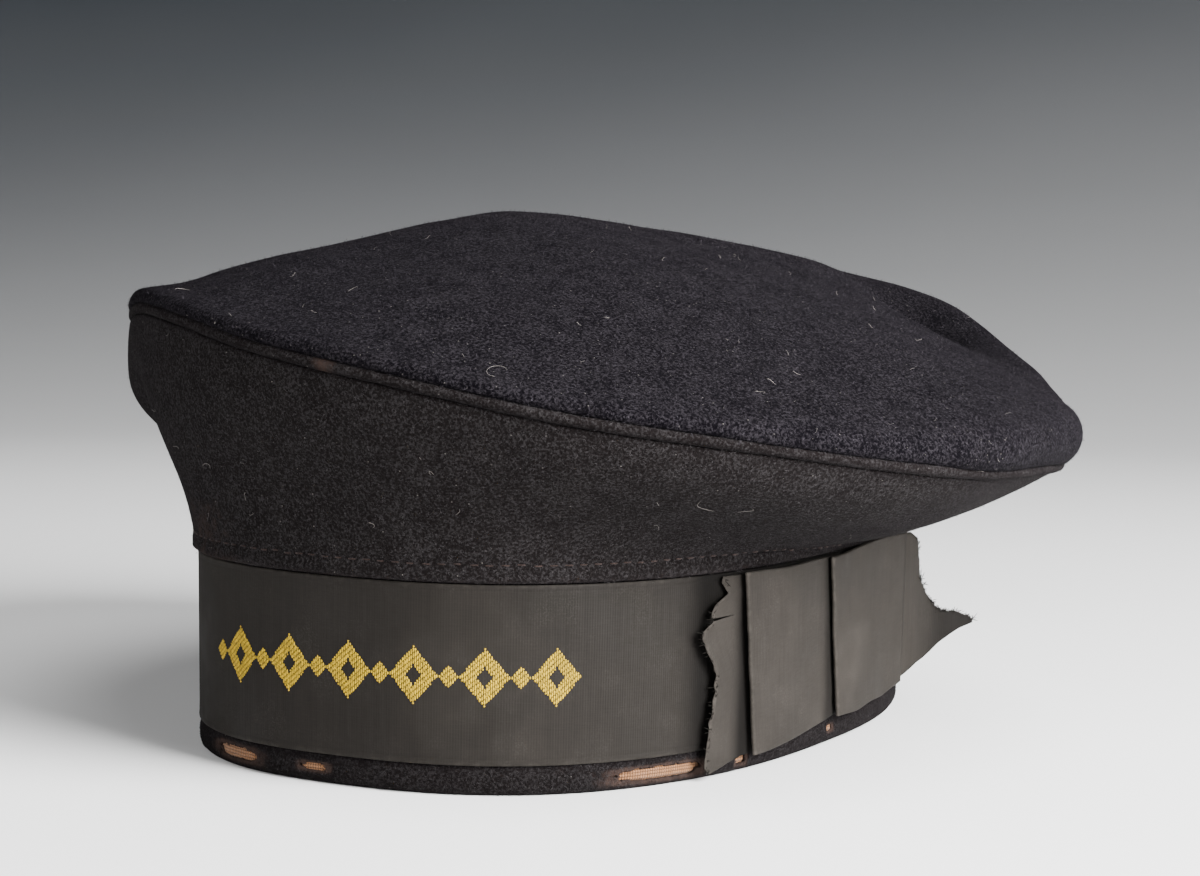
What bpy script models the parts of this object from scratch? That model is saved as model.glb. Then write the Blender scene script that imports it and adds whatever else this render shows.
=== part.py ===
"""A worn wool sailor cap with a ribbon and bow, resting by itself on its head band.

Run it with: blender --background --python part.py
Metres, +Z up. The front of the cap faces -Y and the wearer's left, with the bow, faces +X.
"""

import math

import bmesh
import bpy
import numpy as np

# Head band
BAND_LENGTH = 0.2054
BAND_WIDTH = 0.1376
BAND_SQUARENESS = 2.48
BAND_FLARE_SLOPE = 0.0141
SEAM_OVERLAP = 0.0052
HEM_TUCK = 0.0012
HEM_TURN_UP = 0.0090

# Cloths
WOOL = 0.0020
BAND_WOOL = 0.0018
HEM_WOOL = 0.0012
CANVAS = 0.0012
CLEARANCE = 0.0003

# Ribbon and bow
RIBBON_WIDTH = 0.0380
RIBBON_LIFT = 0.0065
RIBBON_THICKNESS = 0.0006
SEAM_HEIGHT = RIBBON_LIFT + RIBBON_WIDTH + CLEARANCE
LOOP_THICKNESS = 0.0010
BOW_LIFT = 0.0030
TAIL_REACH = 0.0190
TAIL_FLARE = 0.0170

# Crown
RIM_RADIUS = 0.1150
CROWN_HEIGHT = 0.1200
PEAK_SIDE = -0.0150
PEAK_BACK = -0.0020
PIPING_RADIUS = 0.0016
PIPING_PROUD = 0.0008
ROLL_RADIUS = 0.0060
PEAK_ROUNDING = 0.0138
SIDE_EASE_SHARE = 0.35
SLOPE_SHARE = 0.01
FOLD_DEPTH = 0.0100
WORN_HEIGHT = 0.0032

ROUND_STEPS = 72
SIDE_STEPS = 8
ROLL_STEPS = 3
DOME_STEPS = 8

# The rim, by azimuth in degrees from the wearer's left (0) over the back (90) to the front (270).
# radius: share of RIM_RADIUS. height: of the welt, share of CROWN_HEIGHT. foot, lean: how far the
# side panel leans out at the seam and at the welt, in degrees from upright. roll: share of
# ROLL_RADIUS. tuck: how far the rolled edge turns under to the welt, in degrees. full: how much
# rounder than a straight cone the top is.
RIM_COLUMNS = ("azimuth", "radius", "height", "foot", "lean", "roll", "tuck", "full")
RIM = (
    (0, 1.023, 0.553, 78, 54, 1.00, 55, 0.35),
    (15, 1.006, 0.542, 77, 56, 1.10, 60, 0.40),
    (28, 0.995, 0.540, 74, 54, 1.15, 62, 0.45),
    (42, 0.982, 0.598, 60, 38, 1.20, 60, 0.50),
    (58, 0.960, 0.708, 38, 20, 1.15, 50, 0.55),
    (75, 0.942, 0.765, 25, 8, 0.95, 40, 0.50),
    (95, 0.930, 0.775, 12, 0, 0.80, 35, 0.45),
    (118, 0.922, 0.775, 10, -5, 0.70, 30, 0.30),
    (150, 0.922, 0.775, 12, -8, 0.55, 30, 0.25),
    (180, 0.905, 0.769, 25, -20, 0.45, 30, 0.15),
    (205, 0.887, 0.769, 38, -28, 0.42, 30, 0.05),
    (225, 0.908, 0.797, 20, -10, 0.30, 28, 0.05),
    (238, 0.945, 0.818, 10, -3, 0.22, 25, 0.10),
    (250, 0.978, 0.807, 10, 0, 0.22, 25, 0.20),
    (263, 1.011, 0.773, 12, 0, 0.25, 25, 0.25),
    (280, 1.050, 0.730, 16, 3, 0.28, 25, 0.30),
    (298, 1.078, 0.673, 25, 8, 0.32, 25, 0.35),
    (316, 1.085, 0.628, 45, 18, 0.38, 30, 0.35),
    (333, 1.072, 0.586, 65, 35, 0.60, 40, 0.30),
    (345, 1.050, 0.564, 75, 45, 0.85, 50, 0.30),
)

# Folds of the side panel: azimuth and spread in degrees, height and spread as shares of the way
# from seam to welt, depth as a share of FOLD_DEPTH, positive outward.
SIDE_FOLDS = (
    (203, 10, 0.60, 0.30, 0.42),
    (222, 7, 0.55, 0.30, -0.45),
    (238, 6, 0.50, 0.35, 0.10),
    (262, 9, 0.30, 0.20, -0.15),
)

# Folds of the top: azimuth and spread in degrees, place and spread as shares of the way from
# rolled edge to peak, depth as a share of FOLD_DEPTH, positive upward.
TOP_FOLDS = (
    (48, 11, 0.14, 0.10, -0.95),
    (8, 9, 0.15, 0.08, -0.18),
    (230, 14, 0.10, 0.07, -0.15),
    (150, 25, 0.40, 0.25, -0.25),
)

# Worn places of the hem: azimuth in degrees, length along the hem and height as shares of
# WORN_HEIGHT, and centre height as a share of RIBBON_LIFT.
WORN_PLACES = (
    (253.5, 5.2, 1.00, 0.50),
    (266.8, 2.4, 0.60, 0.52),
    (311.8, 7.0, 1.00, 0.46),
    (327.8, 1.2, 0.80, 0.40),
    (0.5, 1.1, 0.60, 0.54),
)

# Torn end of the bow, down its edge: height as a share of RIBBON_WIDTH above the ribbon's lower
# edge, azimuth of the torn edge, lift as a share of BOW_LIFT, drop of the tucked side.
TORN_EDGE = (
    (0.970, 321.0, 0.40, 0.00),
    (0.905, 321.3, 0.50, 0.00),
    (0.815, 319.2, 0.73, 0.00),
    (0.715, 317.4, 0.86, 0.00),
    (0.635, 318.1, 0.86, 0.00),
    (0.545, 319.3, 0.80, 0.00),
    (0.435, 319.8, 0.73, 0.00),
    (0.320, 319.3, 0.73, 0.00),
    (0.190, 318.3, 0.83, 0.00),
    (0.050, 317.2, 0.95, 0.00),
    (-0.112, 318.0, 1.00, 0.06),
)
TORN_TUCK = 331.0

# Loops of the bow, along the band: azimuth, lower and upper edge as shares of RIBBON_WIDTH
# above the ribbon's lower edge, lift as a share of BOW_LIFT.
FRONT_LOOP = (
    (325.0, -0.040, 0.965, 0.80),
    (329.0, -0.050, 0.970, 0.78),
    (336.0, -0.020, 0.975, 0.70),
    (345.0, 0.015, 0.980, 0.56),
    (353.0, 0.030, 0.980, 0.44),
    (359.0, 0.040, 0.980, 0.34),
)
REAR_LOOP = (
    (351.5, 0.030, 0.980, 0.92),
    (355.0, 0.030, 0.985, 0.92),
    (363.0, 0.035, 0.985, 0.80),
    (373.0, 0.060, 0.985, 0.75),
    (379.0, 0.070, 0.985, 0.90),
    (383.0, 0.100, 0.985, 1.25),
    (386.0, 0.115, 0.985, 1.55),
)

# The tail: way along as a share of TAIL_REACH, flare out as a share of TAIL_FLARE, lower and
# upper edge as shares of RIBBON_WIDTH above the ribbon's lower edge.
TAIL_ROOT = 386.0
TAIL = (
    (-0.45, 0.000, 0.100, 0.965),
    (-0.20, 0.060, 0.100, 0.965),
    (0.00, 0.170, 0.105, 0.965),
    (0.16, 0.270, 0.135, 0.965),
    (0.26, 0.340, 0.165, 0.955),
    (0.32, 0.375, 0.185, 0.740),
    (0.42, 0.450, 0.215, 0.630),
    (0.52, 0.520, 0.250, 0.560),
    (0.64, 0.610, 0.300, 0.510),
    (0.76, 0.720, 0.345, 0.495),
    (0.87, 0.820, 0.380, 0.490),
    (1.00, 1.000, 0.420, 0.445),
)


def clear_scene():
    for thing in list(bpy.data.objects):
        bpy.data.objects.remove(thing, do_unlink=True)


def new_collection(name, hidden=False):
    made = bpy.data.collections.new(name)
    made.hide_render = hidden
    bpy.context.scene.collection.children.link(made)
    return made


def cloth_material(name, colour, roughness):
    made = bpy.data.materials.new(name)
    made.use_nodes = True
    shader = made.node_tree.nodes["Principled BSDF"]
    shader.inputs["Base Color"].default_value = (*colour, 1.0)
    shader.inputs["Roughness"].default_value = roughness
    shader.inputs["Metallic"].default_value = 0.0
    return made


def smooth_loop(column, azimuth):
    """A column of the rim table at any azimuth, as a smooth closed curve through its rows."""
    place = RIM_COLUMNS.index(column)
    stations = np.array([row[0] for row in RIM], float)
    values = np.array([row[place] for row in RIM], float)
    stations = np.concatenate((stations - 360, stations, stations + 360))
    values = np.tile(values, 3)
    slopes = np.gradient(values, stations)
    angle = np.asarray(azimuth, float) % 360
    i = np.searchsorted(stations, angle, side="right") - 1
    gap = stations[i + 1] - stations[i]
    w = (angle - stations[i]) / gap
    return (
        (2 * w**3 - 3 * w**2 + 1) * values[i]
        + (w**3 - 2 * w**2 + w) * gap * slopes[i]
        + (3 * w**2 - 2 * w**3) * values[i + 1]
        + (w**3 - w**2) * gap * slopes[i + 1]
    )


def bell(x, centre, spread):
    return np.exp(-(((x - centre) / spread) ** 2))


def turn_between(a, b):
    return (np.asarray(a, float) - b + 180) % 360 - 180


def band_radius(azimuth):
    """Radius of the ribbon's outer face on the floor, a squarish oval."""
    turn = np.radians(azimuth)
    across = np.abs(np.cos(turn) / (BAND_WIDTH / 2)) ** BAND_SQUARENESS
    along = np.abs(np.sin(turn) / (BAND_LENGTH / 2)) ** BAND_SQUARENESS
    return (across + along) ** (-1 / BAND_SQUARENESS)


def band_place(azimuth, out=0.0, height=0.0):
    """Point at a distance out from the ribbon's outer face, measured square to the band."""
    step = 0.05
    turn = np.radians(np.array([azimuth - step, azimuth, azimuth + step]))
    radius = band_radius(np.degrees(turn))
    x, y = radius * np.cos(turn), radius * np.sin(turn)
    along = np.array([x[2] - x[0], y[2] - y[0]])
    along /= np.linalg.norm(along)
    far = out + BAND_FLARE_SLOPE * height
    return np.array([x[1] + along[1] * far, y[1] - along[0] * far, height])


def band_along(azimuth):
    ahead = band_place(azimuth + 0.1) - band_place(azimuth - 0.1)
    return ahead / np.linalg.norm(ahead)


def rim_place(azimuth):
    """Centre of the piping at the rim, as (radius, height)."""
    radius = smooth_loop("radius", azimuth) * RIM_RADIUS
    height = smooth_loop("height", azimuth) * CROWN_HEIGHT
    return float(radius), float(height)


def beside_piping(azimuth, lean, side):
    """Where the middle of the wool meets the piping, above it (side 1) or below it (side -1)."""
    along = np.array([math.sin(lean), math.cos(lean)])
    out = np.array([math.cos(lean), -math.sin(lean)])
    gap = PIPING_RADIUS + CLEARANCE
    inset = PIPING_RADIUS - PIPING_PROUD - WOOL / 2
    return np.array(rim_place(azimuth)) + side * gap * along + inset * out


def seam_radius(azimuth):
    """Radius of the middle of the side panel's wool at the seam."""
    middle = wool_face() + CLEARANCE + WOOL / 2
    foot = band_place(azimuth, middle, SEAM_HEIGHT)
    return float(math.hypot(foot[0], foot[1]))


def in_plane(azimuth, radius, height):
    turn = math.radians(azimuth)
    return (radius * math.cos(turn), radius * math.sin(turn), height)


def side_section(azimuth, steps):
    """Middle of the side panel from seam to welt, a four-point curve with the folds added."""
    foot = math.radians(float(smooth_loop("foot", azimuth)))
    lean = math.radians(float(smooth_loop("lean", azimuth)))
    seam = np.array([seam_radius(azimuth), SEAM_HEIGHT])
    welt = beside_piping(azimuth, lean, -1)
    rise = np.array([seam[0], SEAM_HEIGHT + SEAM_OVERLAP * math.cos(foot) ** 0.5])
    reach = np.linalg.norm(welt - rise)
    out = rise + SIDE_EASE_SHARE * reach * np.array([math.sin(foot), math.cos(foot)])
    back = welt - SIDE_EASE_SHARE * reach * np.array([math.sin(lean), math.cos(lean)])
    points = [in_plane(azimuth, *seam)]
    for i in range(steps + 1):
        t = i / steps
        point = (1 - t) ** 3 * rise + 3 * t * (1 - t) ** 2 * out + 3 * t**2 * (1 - t) * back
        point = point + t**3 * welt
        fade = math.sin(math.pi * t)
        for place, spread, level, tall, depth in SIDE_FOLDS:
            near = bell(turn_between(azimuth, place), 0, spread) * bell(t, level, tall)
            point = point + np.array([FOLD_DEPTH * depth * float(near) * fade, 0])
        points.append(in_plane(azimuth, *point))
    return points


def dome_rise(t, full):
    """Share of the rise from rolled edge to peak: a cone with a rounded tip, made fuller."""
    rounding = PEAK_ROUNDING / RIM_RADIUS
    foot = math.hypot(1, rounding)
    cone = (foot - math.hypot(1 - t, rounding)) / (foot - rounding)
    bulge = t * (1 - t) ** 1.5
    return cone + 1.35 * full * bulge


def top_section(azimuth, roll_steps, dome_steps):
    """Middle of the crown's top from the welt over the rolled edge to the peak."""
    roll = float(smooth_loop("roll", azimuth)) * ROLL_RADIUS
    full = float(smooth_loop("full", azimuth))
    peak = np.array([PEAK_SIDE, PEAK_BACK, CROWN_HEIGHT - WOOL / 2])
    start = -math.radians(float(smooth_loop("tuck", azimuth)))
    radius, height = beside_piping(azimuth, -start, 1)
    centre_radius = radius - roll * math.cos(start)
    centre_height = height - roll * math.sin(start)
    rise = (peak[2] - centre_height - roll) * dome_rise(SLOPE_SHARE, full) / SLOPE_SHARE
    end = math.pi / 2 - math.atan(rise / centre_radius)
    points = []
    for i in range(roll_steps + 1):
        turn = start + (end - start) * i / roll_steps
        points.append(
            in_plane(
                azimuth,
                centre_radius + roll * math.cos(turn),
                centre_height + roll * math.sin(turn),
            )
        )
    edge = np.array(points[-1])
    for i in range(1, dome_steps + 1):
        t = i / dome_steps
        point = edge + (peak - edge) * t
        point[2] = edge[2] + (peak[2] - edge[2]) * dome_rise(t, full)
        for place, spread, level, wide, depth in TOP_FOLDS:
            near = bell(turn_between(azimuth, place), 0, spread) * bell(t, level, wide)
            point[2] += FOLD_DEPTH * depth * float(near) * min(1.0, 6 * t * (1 - t))
        points.append(tuple(point))
    return points


def azimuths(steps):
    return [360 * i / steps for i in range(steps)]


def add_object(name, mesh, material, collection):
    made = bpy.data.objects.new(name, mesh)
    mesh.materials.append(material)
    mesh.shade_smooth()
    collection.objects.link(made)
    return made


def loft(name, sections, material, collection, ring=True, closed=False, pole=False):
    """Skin over equal sections: ring joins the last section to the first, closed joins each
    section's ends, and pole merges the ends that meet in one point."""
    shape = bmesh.new()
    rows = [[shape.verts.new(point) for point in section] for section in sections]
    count = len(rows[0])
    for i in range(len(rows) if ring else len(rows) - 1):
        here, there = rows[i], rows[(i + 1) % len(rows)]
        for j in range(count if closed else count - 1):
            k = (j + 1) % count
            shape.faces.new((here[j], there[j], there[k], here[k]))
    if pole:
        bmesh.ops.remove_doubles(shape, verts=[row[-1] for row in rows], dist=1e-6)
    bmesh.ops.recalc_face_normals(shape, faces=shape.faces)
    mesh = bpy.data.meshes.new(name)
    shape.to_mesh(mesh)
    shape.free()
    return add_object(name, mesh, material, collection)


def thicken(thing, thickness):
    shell = thing.modifiers.new("thickness", "SOLIDIFY")
    shell.thickness = thickness
    shell.offset = 0.0
    shell.use_even_offset = True
    return thing


def crown_top(material, collection):
    sections = [top_section(angle, ROLL_STEPS, DOME_STEPS) for angle in azimuths(ROUND_STEPS)]
    return thicken(loft("crown_top", sections, material, collection, pole=True), WOOL)


def crown_side(material, collection):
    sections = [side_section(angle, SIDE_STEPS) for angle in azimuths(ROUND_STEPS)]
    return thicken(loft("crown_side", sections, material, collection), WOOL)


def edge_piping(material, collection):
    path = bpy.data.curves.new("edge_piping", "CURVE")
    path.dimensions = "3D"
    path.bevel_depth = PIPING_RADIUS
    path.bevel_resolution = 2
    spline = path.splines.new("POLY")
    spline.points.add(ROUND_STEPS - 1)
    for point, angle in zip(spline.points, azimuths(ROUND_STEPS)):
        point.co = (*in_plane(angle, *rim_place(angle)), 1.0)
    spline.use_cyclic_u = True
    path.materials.append(material)
    made = bpy.data.objects.new("edge_piping", path)
    collection.objects.link(made)
    return made


def wool_face():
    """Distance of the band wool's outer face from the ribbon's outer face."""
    return -RIBBON_THICKNESS - CLEARANCE


def band_top():
    return SEAM_HEIGHT + SEAM_OVERLAP


def canvas_faces():
    """Outer and inner faces of the canvas, and the outer face of its doubled lower edge."""
    outer = wool_face() - BAND_WOOL - CLEARANCE
    return outer, outer - CANVAS, -HEM_WOOL - CLEARANCE


def band_wool_section():
    """Section of the band's wool, down the outside, under the canvas and up inside."""
    outer, inner, bead = canvas_faces()
    face = wool_face()
    lift = RIBBON_LIFT
    back = inner - CLEARANCE
    floor = HEM_WOOL
    return (
        (face, band_top()),
        (face, lift - 0.1 * HEM_WOOL),
        (0.55 * face, lift - 0.45 * HEM_WOOL),
        (0.0, 0.70 * lift),
        (0.0, 0.34 * lift),
        (-0.35 * HEM_TUCK, 0.12 * lift),
        (-HEM_TUCK, 0.0),
        (back - 0.6 * HEM_WOOL, 0.0),
        (back - HEM_WOOL, 0.12 * lift),
        (back - HEM_WOOL, HEM_TURN_UP),
        (back, HEM_TURN_UP),
        (back, floor),
        (bead + CLEARANCE, floor),
        (bead + CLEARANCE, 0.80 * lift),
        (face - BAND_WOOL, 0.80 * lift + HEM_WOOL),
        (face - BAND_WOOL, band_top()),
    )


def canvas_section():
    outer, inner, bead = canvas_faces()
    floor = HEM_WOOL + CLEARANCE
    return (
        (outer, band_top()),
        (outer, 0.80 * RIBBON_LIFT + HEM_WOOL - CLEARANCE),
        (bead, 0.80 * RIBBON_LIFT - CLEARANCE),
        (bead, floor),
        (inner, floor),
        (inner, band_top()),
    )


def band_ring(name, section, material, collection):
    sections = [
        [tuple(band_place(angle, out, height)) for out, height in section]
        for angle in azimuths(ROUND_STEPS)
    ]
    return loft(name, sections, material, collection, closed=True)


def worn_cutter(number, place, cutters):
    """A flat lens that cuts through the hem's wool and stops short of the canvas."""
    azimuth, length, tall, level = place
    _, _, bead = canvas_faces()
    deep = abs(bead) - 0.1 * CLEARANCE
    centre = band_place(azimuth, 0.0, level * RIBBON_LIFT)
    along = band_along(azimuth)
    shape = bmesh.new()
    bmesh.ops.create_uvsphere(shape, u_segments=16, v_segments=8, radius=1.0)
    for point in shape.verts:
        x, y, z = point.co
        turn = azimuth - math.degrees(x * length * WORN_HEIGHT / 2 / math.hypot(*centre[:2]))
        out = 4 * deep * y if y > 0 else deep * max(-1.0, 1.6 * y)
        point.co = band_place(turn, out, level * RIBBON_LIFT + z * tall * WORN_HEIGHT / 2)
    mesh = bpy.data.meshes.new(f"worn_cutter_{number}")
    shape.to_mesh(mesh)
    shape.free()
    made = bpy.data.objects.new(mesh.name, mesh)
    made.hide_render = True
    made.display_type = "WIRE"
    cutters.objects.link(made)
    return made


def band_cloth(material, collection, cutters):
    made = band_ring("band_cloth", band_wool_section(), material, collection)
    for number, place in enumerate(WORN_PLACES, 1):
        cut = made.modifiers.new(f"worn_{number}", "BOOLEAN")
        cut.operation = "DIFFERENCE"
        cut.object = worn_cutter(number, place, cutters)
    return made


def ribbon_place(azimuth, share, lift=0.0):
    """Point on the ribbon's outer face at a share of its width, lifted off the face."""
    return tuple(band_place(azimuth, lift, RIBBON_LIFT + share * RIBBON_WIDTH))


def ribbon(material, collection):
    half = RIBBON_THICKNESS / 2
    shares = (0.0, 0.5, 1.0)
    sections = [
        [ribbon_place(angle, share, -half) for share in shares]
        for angle in azimuths(ROUND_STEPS)
    ]
    return thicken(loft("ribbon", sections, material, collection), RIBBON_THICKNESS)


def bow_torn_end(material, collection):
    near = (RIBBON_THICKNESS / 2 + CLEARANCE) / BOW_LIFT
    sections = []
    for i in range(5):
        t = i / 4
        section = []
        for share, azimuth, lift, drop in TORN_EDGE:
            turn = azimuth + (TORN_TUCK - azimuth) * t
            off = lift + (near - lift) * min(1.0, 1.6 * t)
            section.append(ribbon_place(turn, share + drop * t, off * BOW_LIFT))
        sections.append(section)
    made = loft("bow_torn_end", sections, material, collection, ring=False)
    return thicken(made, RIBBON_THICKNESS)


def bow_loop(name, rows, material, collection):
    sections = []
    for azimuth, low, high, lift in rows:
        shares = [low + (high - low) * i / 4 for i in range(5)]
        sections.append([ribbon_place(azimuth, share, lift * BOW_LIFT) for share in shares])
    made = loft(name, sections, material, collection, ring=False)
    return thicken(made, LOOP_THICKNESS)


def bow_tail(material, collection):
    near = RIBBON_THICKNESS / 2 + CLEARANCE
    root = np.array(band_place(TAIL_ROOT))
    along = band_along(TAIL_ROOT)
    out = np.array([along[1], -along[0], 0.0])
    sections = []
    for reach, flare, low, high in TAIL:
        section = []
        for i in range(5):
            share = low + (high - low) * i / 4
            if reach <= 0:
                turn = TAIL_ROOT + math.degrees(reach * TAIL_REACH / np.linalg.norm(root))
                point = np.array(ribbon_place(turn, share, near + flare * TAIL_FLARE))
            else:
                height = RIBBON_LIFT + share * RIBBON_WIDTH
                way = near + flare * TAIL_FLARE + BAND_FLARE_SLOPE * height
                point = root + along * reach * TAIL_REACH + out * way
                point[2] = height
            section.append(tuple(point))
        sections.append(section)
    made = loft("bow_tail", sections, material, collection, ring=False)
    return thicken(made, RIBBON_THICKNESS)


def centre_on_floor(things):
    """Moves the cap so that the middle of its plan lies over the origin."""
    bpy.context.view_layer.update()
    graph = bpy.context.evaluated_depsgraph_get()
    corners = []
    for thing in things:
        mesh = thing.evaluated_get(graph).to_mesh()
        corners += [thing.matrix_world @ point.co for point in mesh.vertices]
    low = [min(corner[i] for corner in corners) for i in range(3)]
    high = [max(corner[i] for corner in corners) for i in range(3)]
    for thing in things:
        thing.location.x -= (low[0] + high[0]) / 2
        thing.location.y -= (low[1] + high[1]) / 2
        thing.location.z -= low[2]


def main():
    clear_scene()
    cap = new_collection("sailor_cap")
    cutters = new_collection("cutters", hidden=True)
    wool = cloth_material("navy_wool", (0.010, 0.010, 0.016), 0.95)
    silk = cloth_material("black_ribbon", (0.030, 0.028, 0.024), 0.60)
    canvas = cloth_material("tan_canvas", (0.55, 0.32, 0.14), 0.90)
    pieces = [
        crown_top(wool, cap),
        crown_side(wool, cap),
        edge_piping(wool, cap),
        band_cloth(wool, cap, cutters),
        band_ring("band_stiffener", canvas_section(), canvas, cap),
        ribbon(silk, cap),
        bow_torn_end(silk, cap),
        bow_loop("bow_front_pleat", FRONT_LOOP, silk, cap),
        bow_loop("bow_rear_pleat", REAR_LOOP, silk, cap),
        bow_tail(silk, cap),
    ]
    centre_on_floor(pieces + list(cutters.objects))


main()
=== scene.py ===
"""A worn wool sailor cap with a ribbon and bow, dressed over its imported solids.

Run as a script it makes the cap, its floor, lights and camera. Metres, +Z up.
The front of the cap faces -Y and the wearer's left, with the bow, faces +X. Azimuths are in
degrees from the wearer's left (0) over the back (90) to the front (270).
"""

import math

import bmesh
import bpy
import numpy as np
from bpy.props import FloatProperty, FloatVectorProperty, IntProperty, PointerProperty
from mathutils import Matrix, Vector


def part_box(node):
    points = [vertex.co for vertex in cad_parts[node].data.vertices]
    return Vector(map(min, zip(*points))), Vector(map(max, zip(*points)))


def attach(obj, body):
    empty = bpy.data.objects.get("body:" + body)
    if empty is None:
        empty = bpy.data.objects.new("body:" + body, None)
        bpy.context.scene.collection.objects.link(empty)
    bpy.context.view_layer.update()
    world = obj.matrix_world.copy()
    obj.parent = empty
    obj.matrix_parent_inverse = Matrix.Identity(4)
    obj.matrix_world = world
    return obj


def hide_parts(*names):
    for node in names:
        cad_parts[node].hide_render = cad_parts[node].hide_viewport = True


bl_info = {
    "name": "Sailor Cap",
    "version": (1, 0, 0),
    "blender": (4, 5, 0),
    "location": "View3D > Sidebar > Sailor Cap",
    "description": "Makes a worn wool sailor cap, piece by piece",
    "category": "Object",
}

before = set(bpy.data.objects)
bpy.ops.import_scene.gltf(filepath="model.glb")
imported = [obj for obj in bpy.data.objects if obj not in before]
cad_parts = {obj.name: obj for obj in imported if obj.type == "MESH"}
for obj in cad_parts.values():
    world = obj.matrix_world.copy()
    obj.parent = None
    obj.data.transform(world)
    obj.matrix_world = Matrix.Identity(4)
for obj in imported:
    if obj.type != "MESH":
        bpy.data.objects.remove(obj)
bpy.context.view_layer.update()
RIBBON_LOW, RIBBON_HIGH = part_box("ribbon")
MIDDLE = np.array([(RIBBON_LOW.x + RIBBON_HIGH.x) / 2, (RIBBON_LOW.y + RIBBON_HIGH.y) / 2, 0.0])

# Shape of the band and crown, in metres
BAND_LENGTH = 0.2054
BAND_WIDTH = 0.1376
BAND_SQUARENESS = 2.48
BAND_FLARE_SLOPE = 0.0141
RIBBON_LIFT = RIBBON_LOW.z
RIBBON_WIDTH = RIBBON_HIGH.z - RIBBON_LOW.z
CLEARANCE = 0.0003
SEAM_HEIGHT = RIBBON_HIGH.z + CLEARANCE
SEAM_OVERLAP = 0.0052
BAND_FACE = -0.0009
BAND_WOOL = 0.0018
CANVAS_HALF = 0.0006
RIBBON_HALF = 0.0003
RIM_RADIUS = 0.1150
CROWN_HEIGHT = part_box("crown_top")[1].z
PEAK_SIDE = -0.0150
PEAK_BACK = -0.0020
PIPING_PROUD = 0.0008
ROLL_RADIUS = 0.0060
PEAK_ROUNDING = 0.0138
SIDE_EASE_SHARE = 0.35
SLOPE_SHARE = 0.01
FOLD_DEPTH = 0.0100
BOW_LIFT = 0.0030
TAIL_REACH = 0.0190
TAIL_FLARE = 0.0170
TAIL_ROOT = 387.5
TORN_TUCK = 331.0
WORN_HEIGHT = 0.0032
STITCH_HEIGHT = 0.0487
BOW_NEAR = 0.0006
HOLE_SQUARENESS = 4.0
NOISE_CELLS = 48

# How many times lighter than their set colours: loose fibres, raised strands, and the bow, whose lighter
# ribbon colours are painted light
FIBRE_LIFT = 2.2
STRAND_LIFT = 2.6
BOW_PAINTED_LIGHT = 1.45

# The gold motif: way from one large lozenge to the next, shift along the band, then half
# width, half height and hollow share of a large and a small one
LOZENGE_STEP = 0.0150
LOZENGE_SHIFT = 0.0030
LARGE_LOZENGE = (0.0054, 0.0062, 0.32)
SMALL_LOZENGE = (0.0021, 0.0026, 0.0)

# The rim: azimuth, radius and height as shares, lean at the seam and at the welt in degrees,
# roll as a share of ROLL_RADIUS, tuck in degrees, fullness of the top
RIM_COLUMNS = ("azimuth", "radius", "height", "foot", "lean", "roll", "tuck", "full")
RIM = (
    (0, 1.023, 0.553, 78, 54, 1.00, 55, 0.35),
    (15, 1.006, 0.542, 77, 56, 1.10, 60, 0.40),
    (28, 0.995, 0.540, 74, 54, 1.15, 62, 0.45),
    (42, 0.982, 0.598, 60, 38, 1.20, 60, 0.50),
    (58, 0.960, 0.708, 38, 20, 1.15, 50, 0.55),
    (75, 0.942, 0.765, 25, 8, 0.95, 40, 0.50),
    (95, 0.930, 0.775, 12, 0, 0.80, 35, 0.45),
    (118, 0.922, 0.775, 10, -5, 0.70, 30, 0.30),
    (150, 0.922, 0.775, 12, -8, 0.55, 30, 0.25),
    (180, 0.905, 0.769, 25, -20, 0.45, 30, 0.15),
    (205, 0.887, 0.769, 38, -28, 0.42, 30, 0.05),
    (225, 0.908, 0.797, 20, -10, 0.30, 28, 0.05),
    (238, 0.945, 0.818, 10, -3, 0.22, 25, 0.10),
    (250, 0.978, 0.807, 10, 0, 0.22, 25, 0.20),
    (263, 1.011, 0.773, 12, 0, 0.25, 25, 0.25),
    (280, 1.050, 0.730, 16, 3, 0.28, 25, 0.30),
    (298, 1.078, 0.673, 25, 8, 0.32, 25, 0.35),
    (316, 1.085, 0.628, 45, 18, 0.38, 30, 0.35),
    (333, 1.072, 0.586, 65, 35, 0.60, 40, 0.30),
    (345, 1.050, 0.564, 75, 45, 0.85, 50, 0.30),
)

# Folds of the side panel and of the top: azimuth, spread in degrees, place, spread, depth share
SIDE_FOLDS = (
    (203, 10, 0.60, 0.30, 0.42),
    (222, 7, 0.55, 0.30, -0.45),
    (238, 6, 0.50, 0.35, 0.10),
    (262, 9, 0.30, 0.20, -0.15),
)
TOP_FOLDS = (
    (48, 11, 0.14, 0.10, -1.10),
    (8, 9, 0.15, 0.08, -0.18),
    (230, 14, 0.10, 0.07, -0.15),
    (150, 25, 0.40, 0.25, -0.25),
    (245, 9, 0.035, 0.045, -0.22),
)

# Worn places of the hem: azimuth, length and height as shares of WORN_HEIGHT, centre height as
# a share of RIBBON_LIFT
WORN_PLACES = (
    (253.5, 5.2, 1.00, 0.50),
    (266.8, 2.4, 0.60, 0.52),
    (311.8, 7.0, 1.00, 0.46),
    (327.8, 1.2, 0.80, 0.40),
    (0.5, 1.1, 0.60, 0.54),
)

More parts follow.
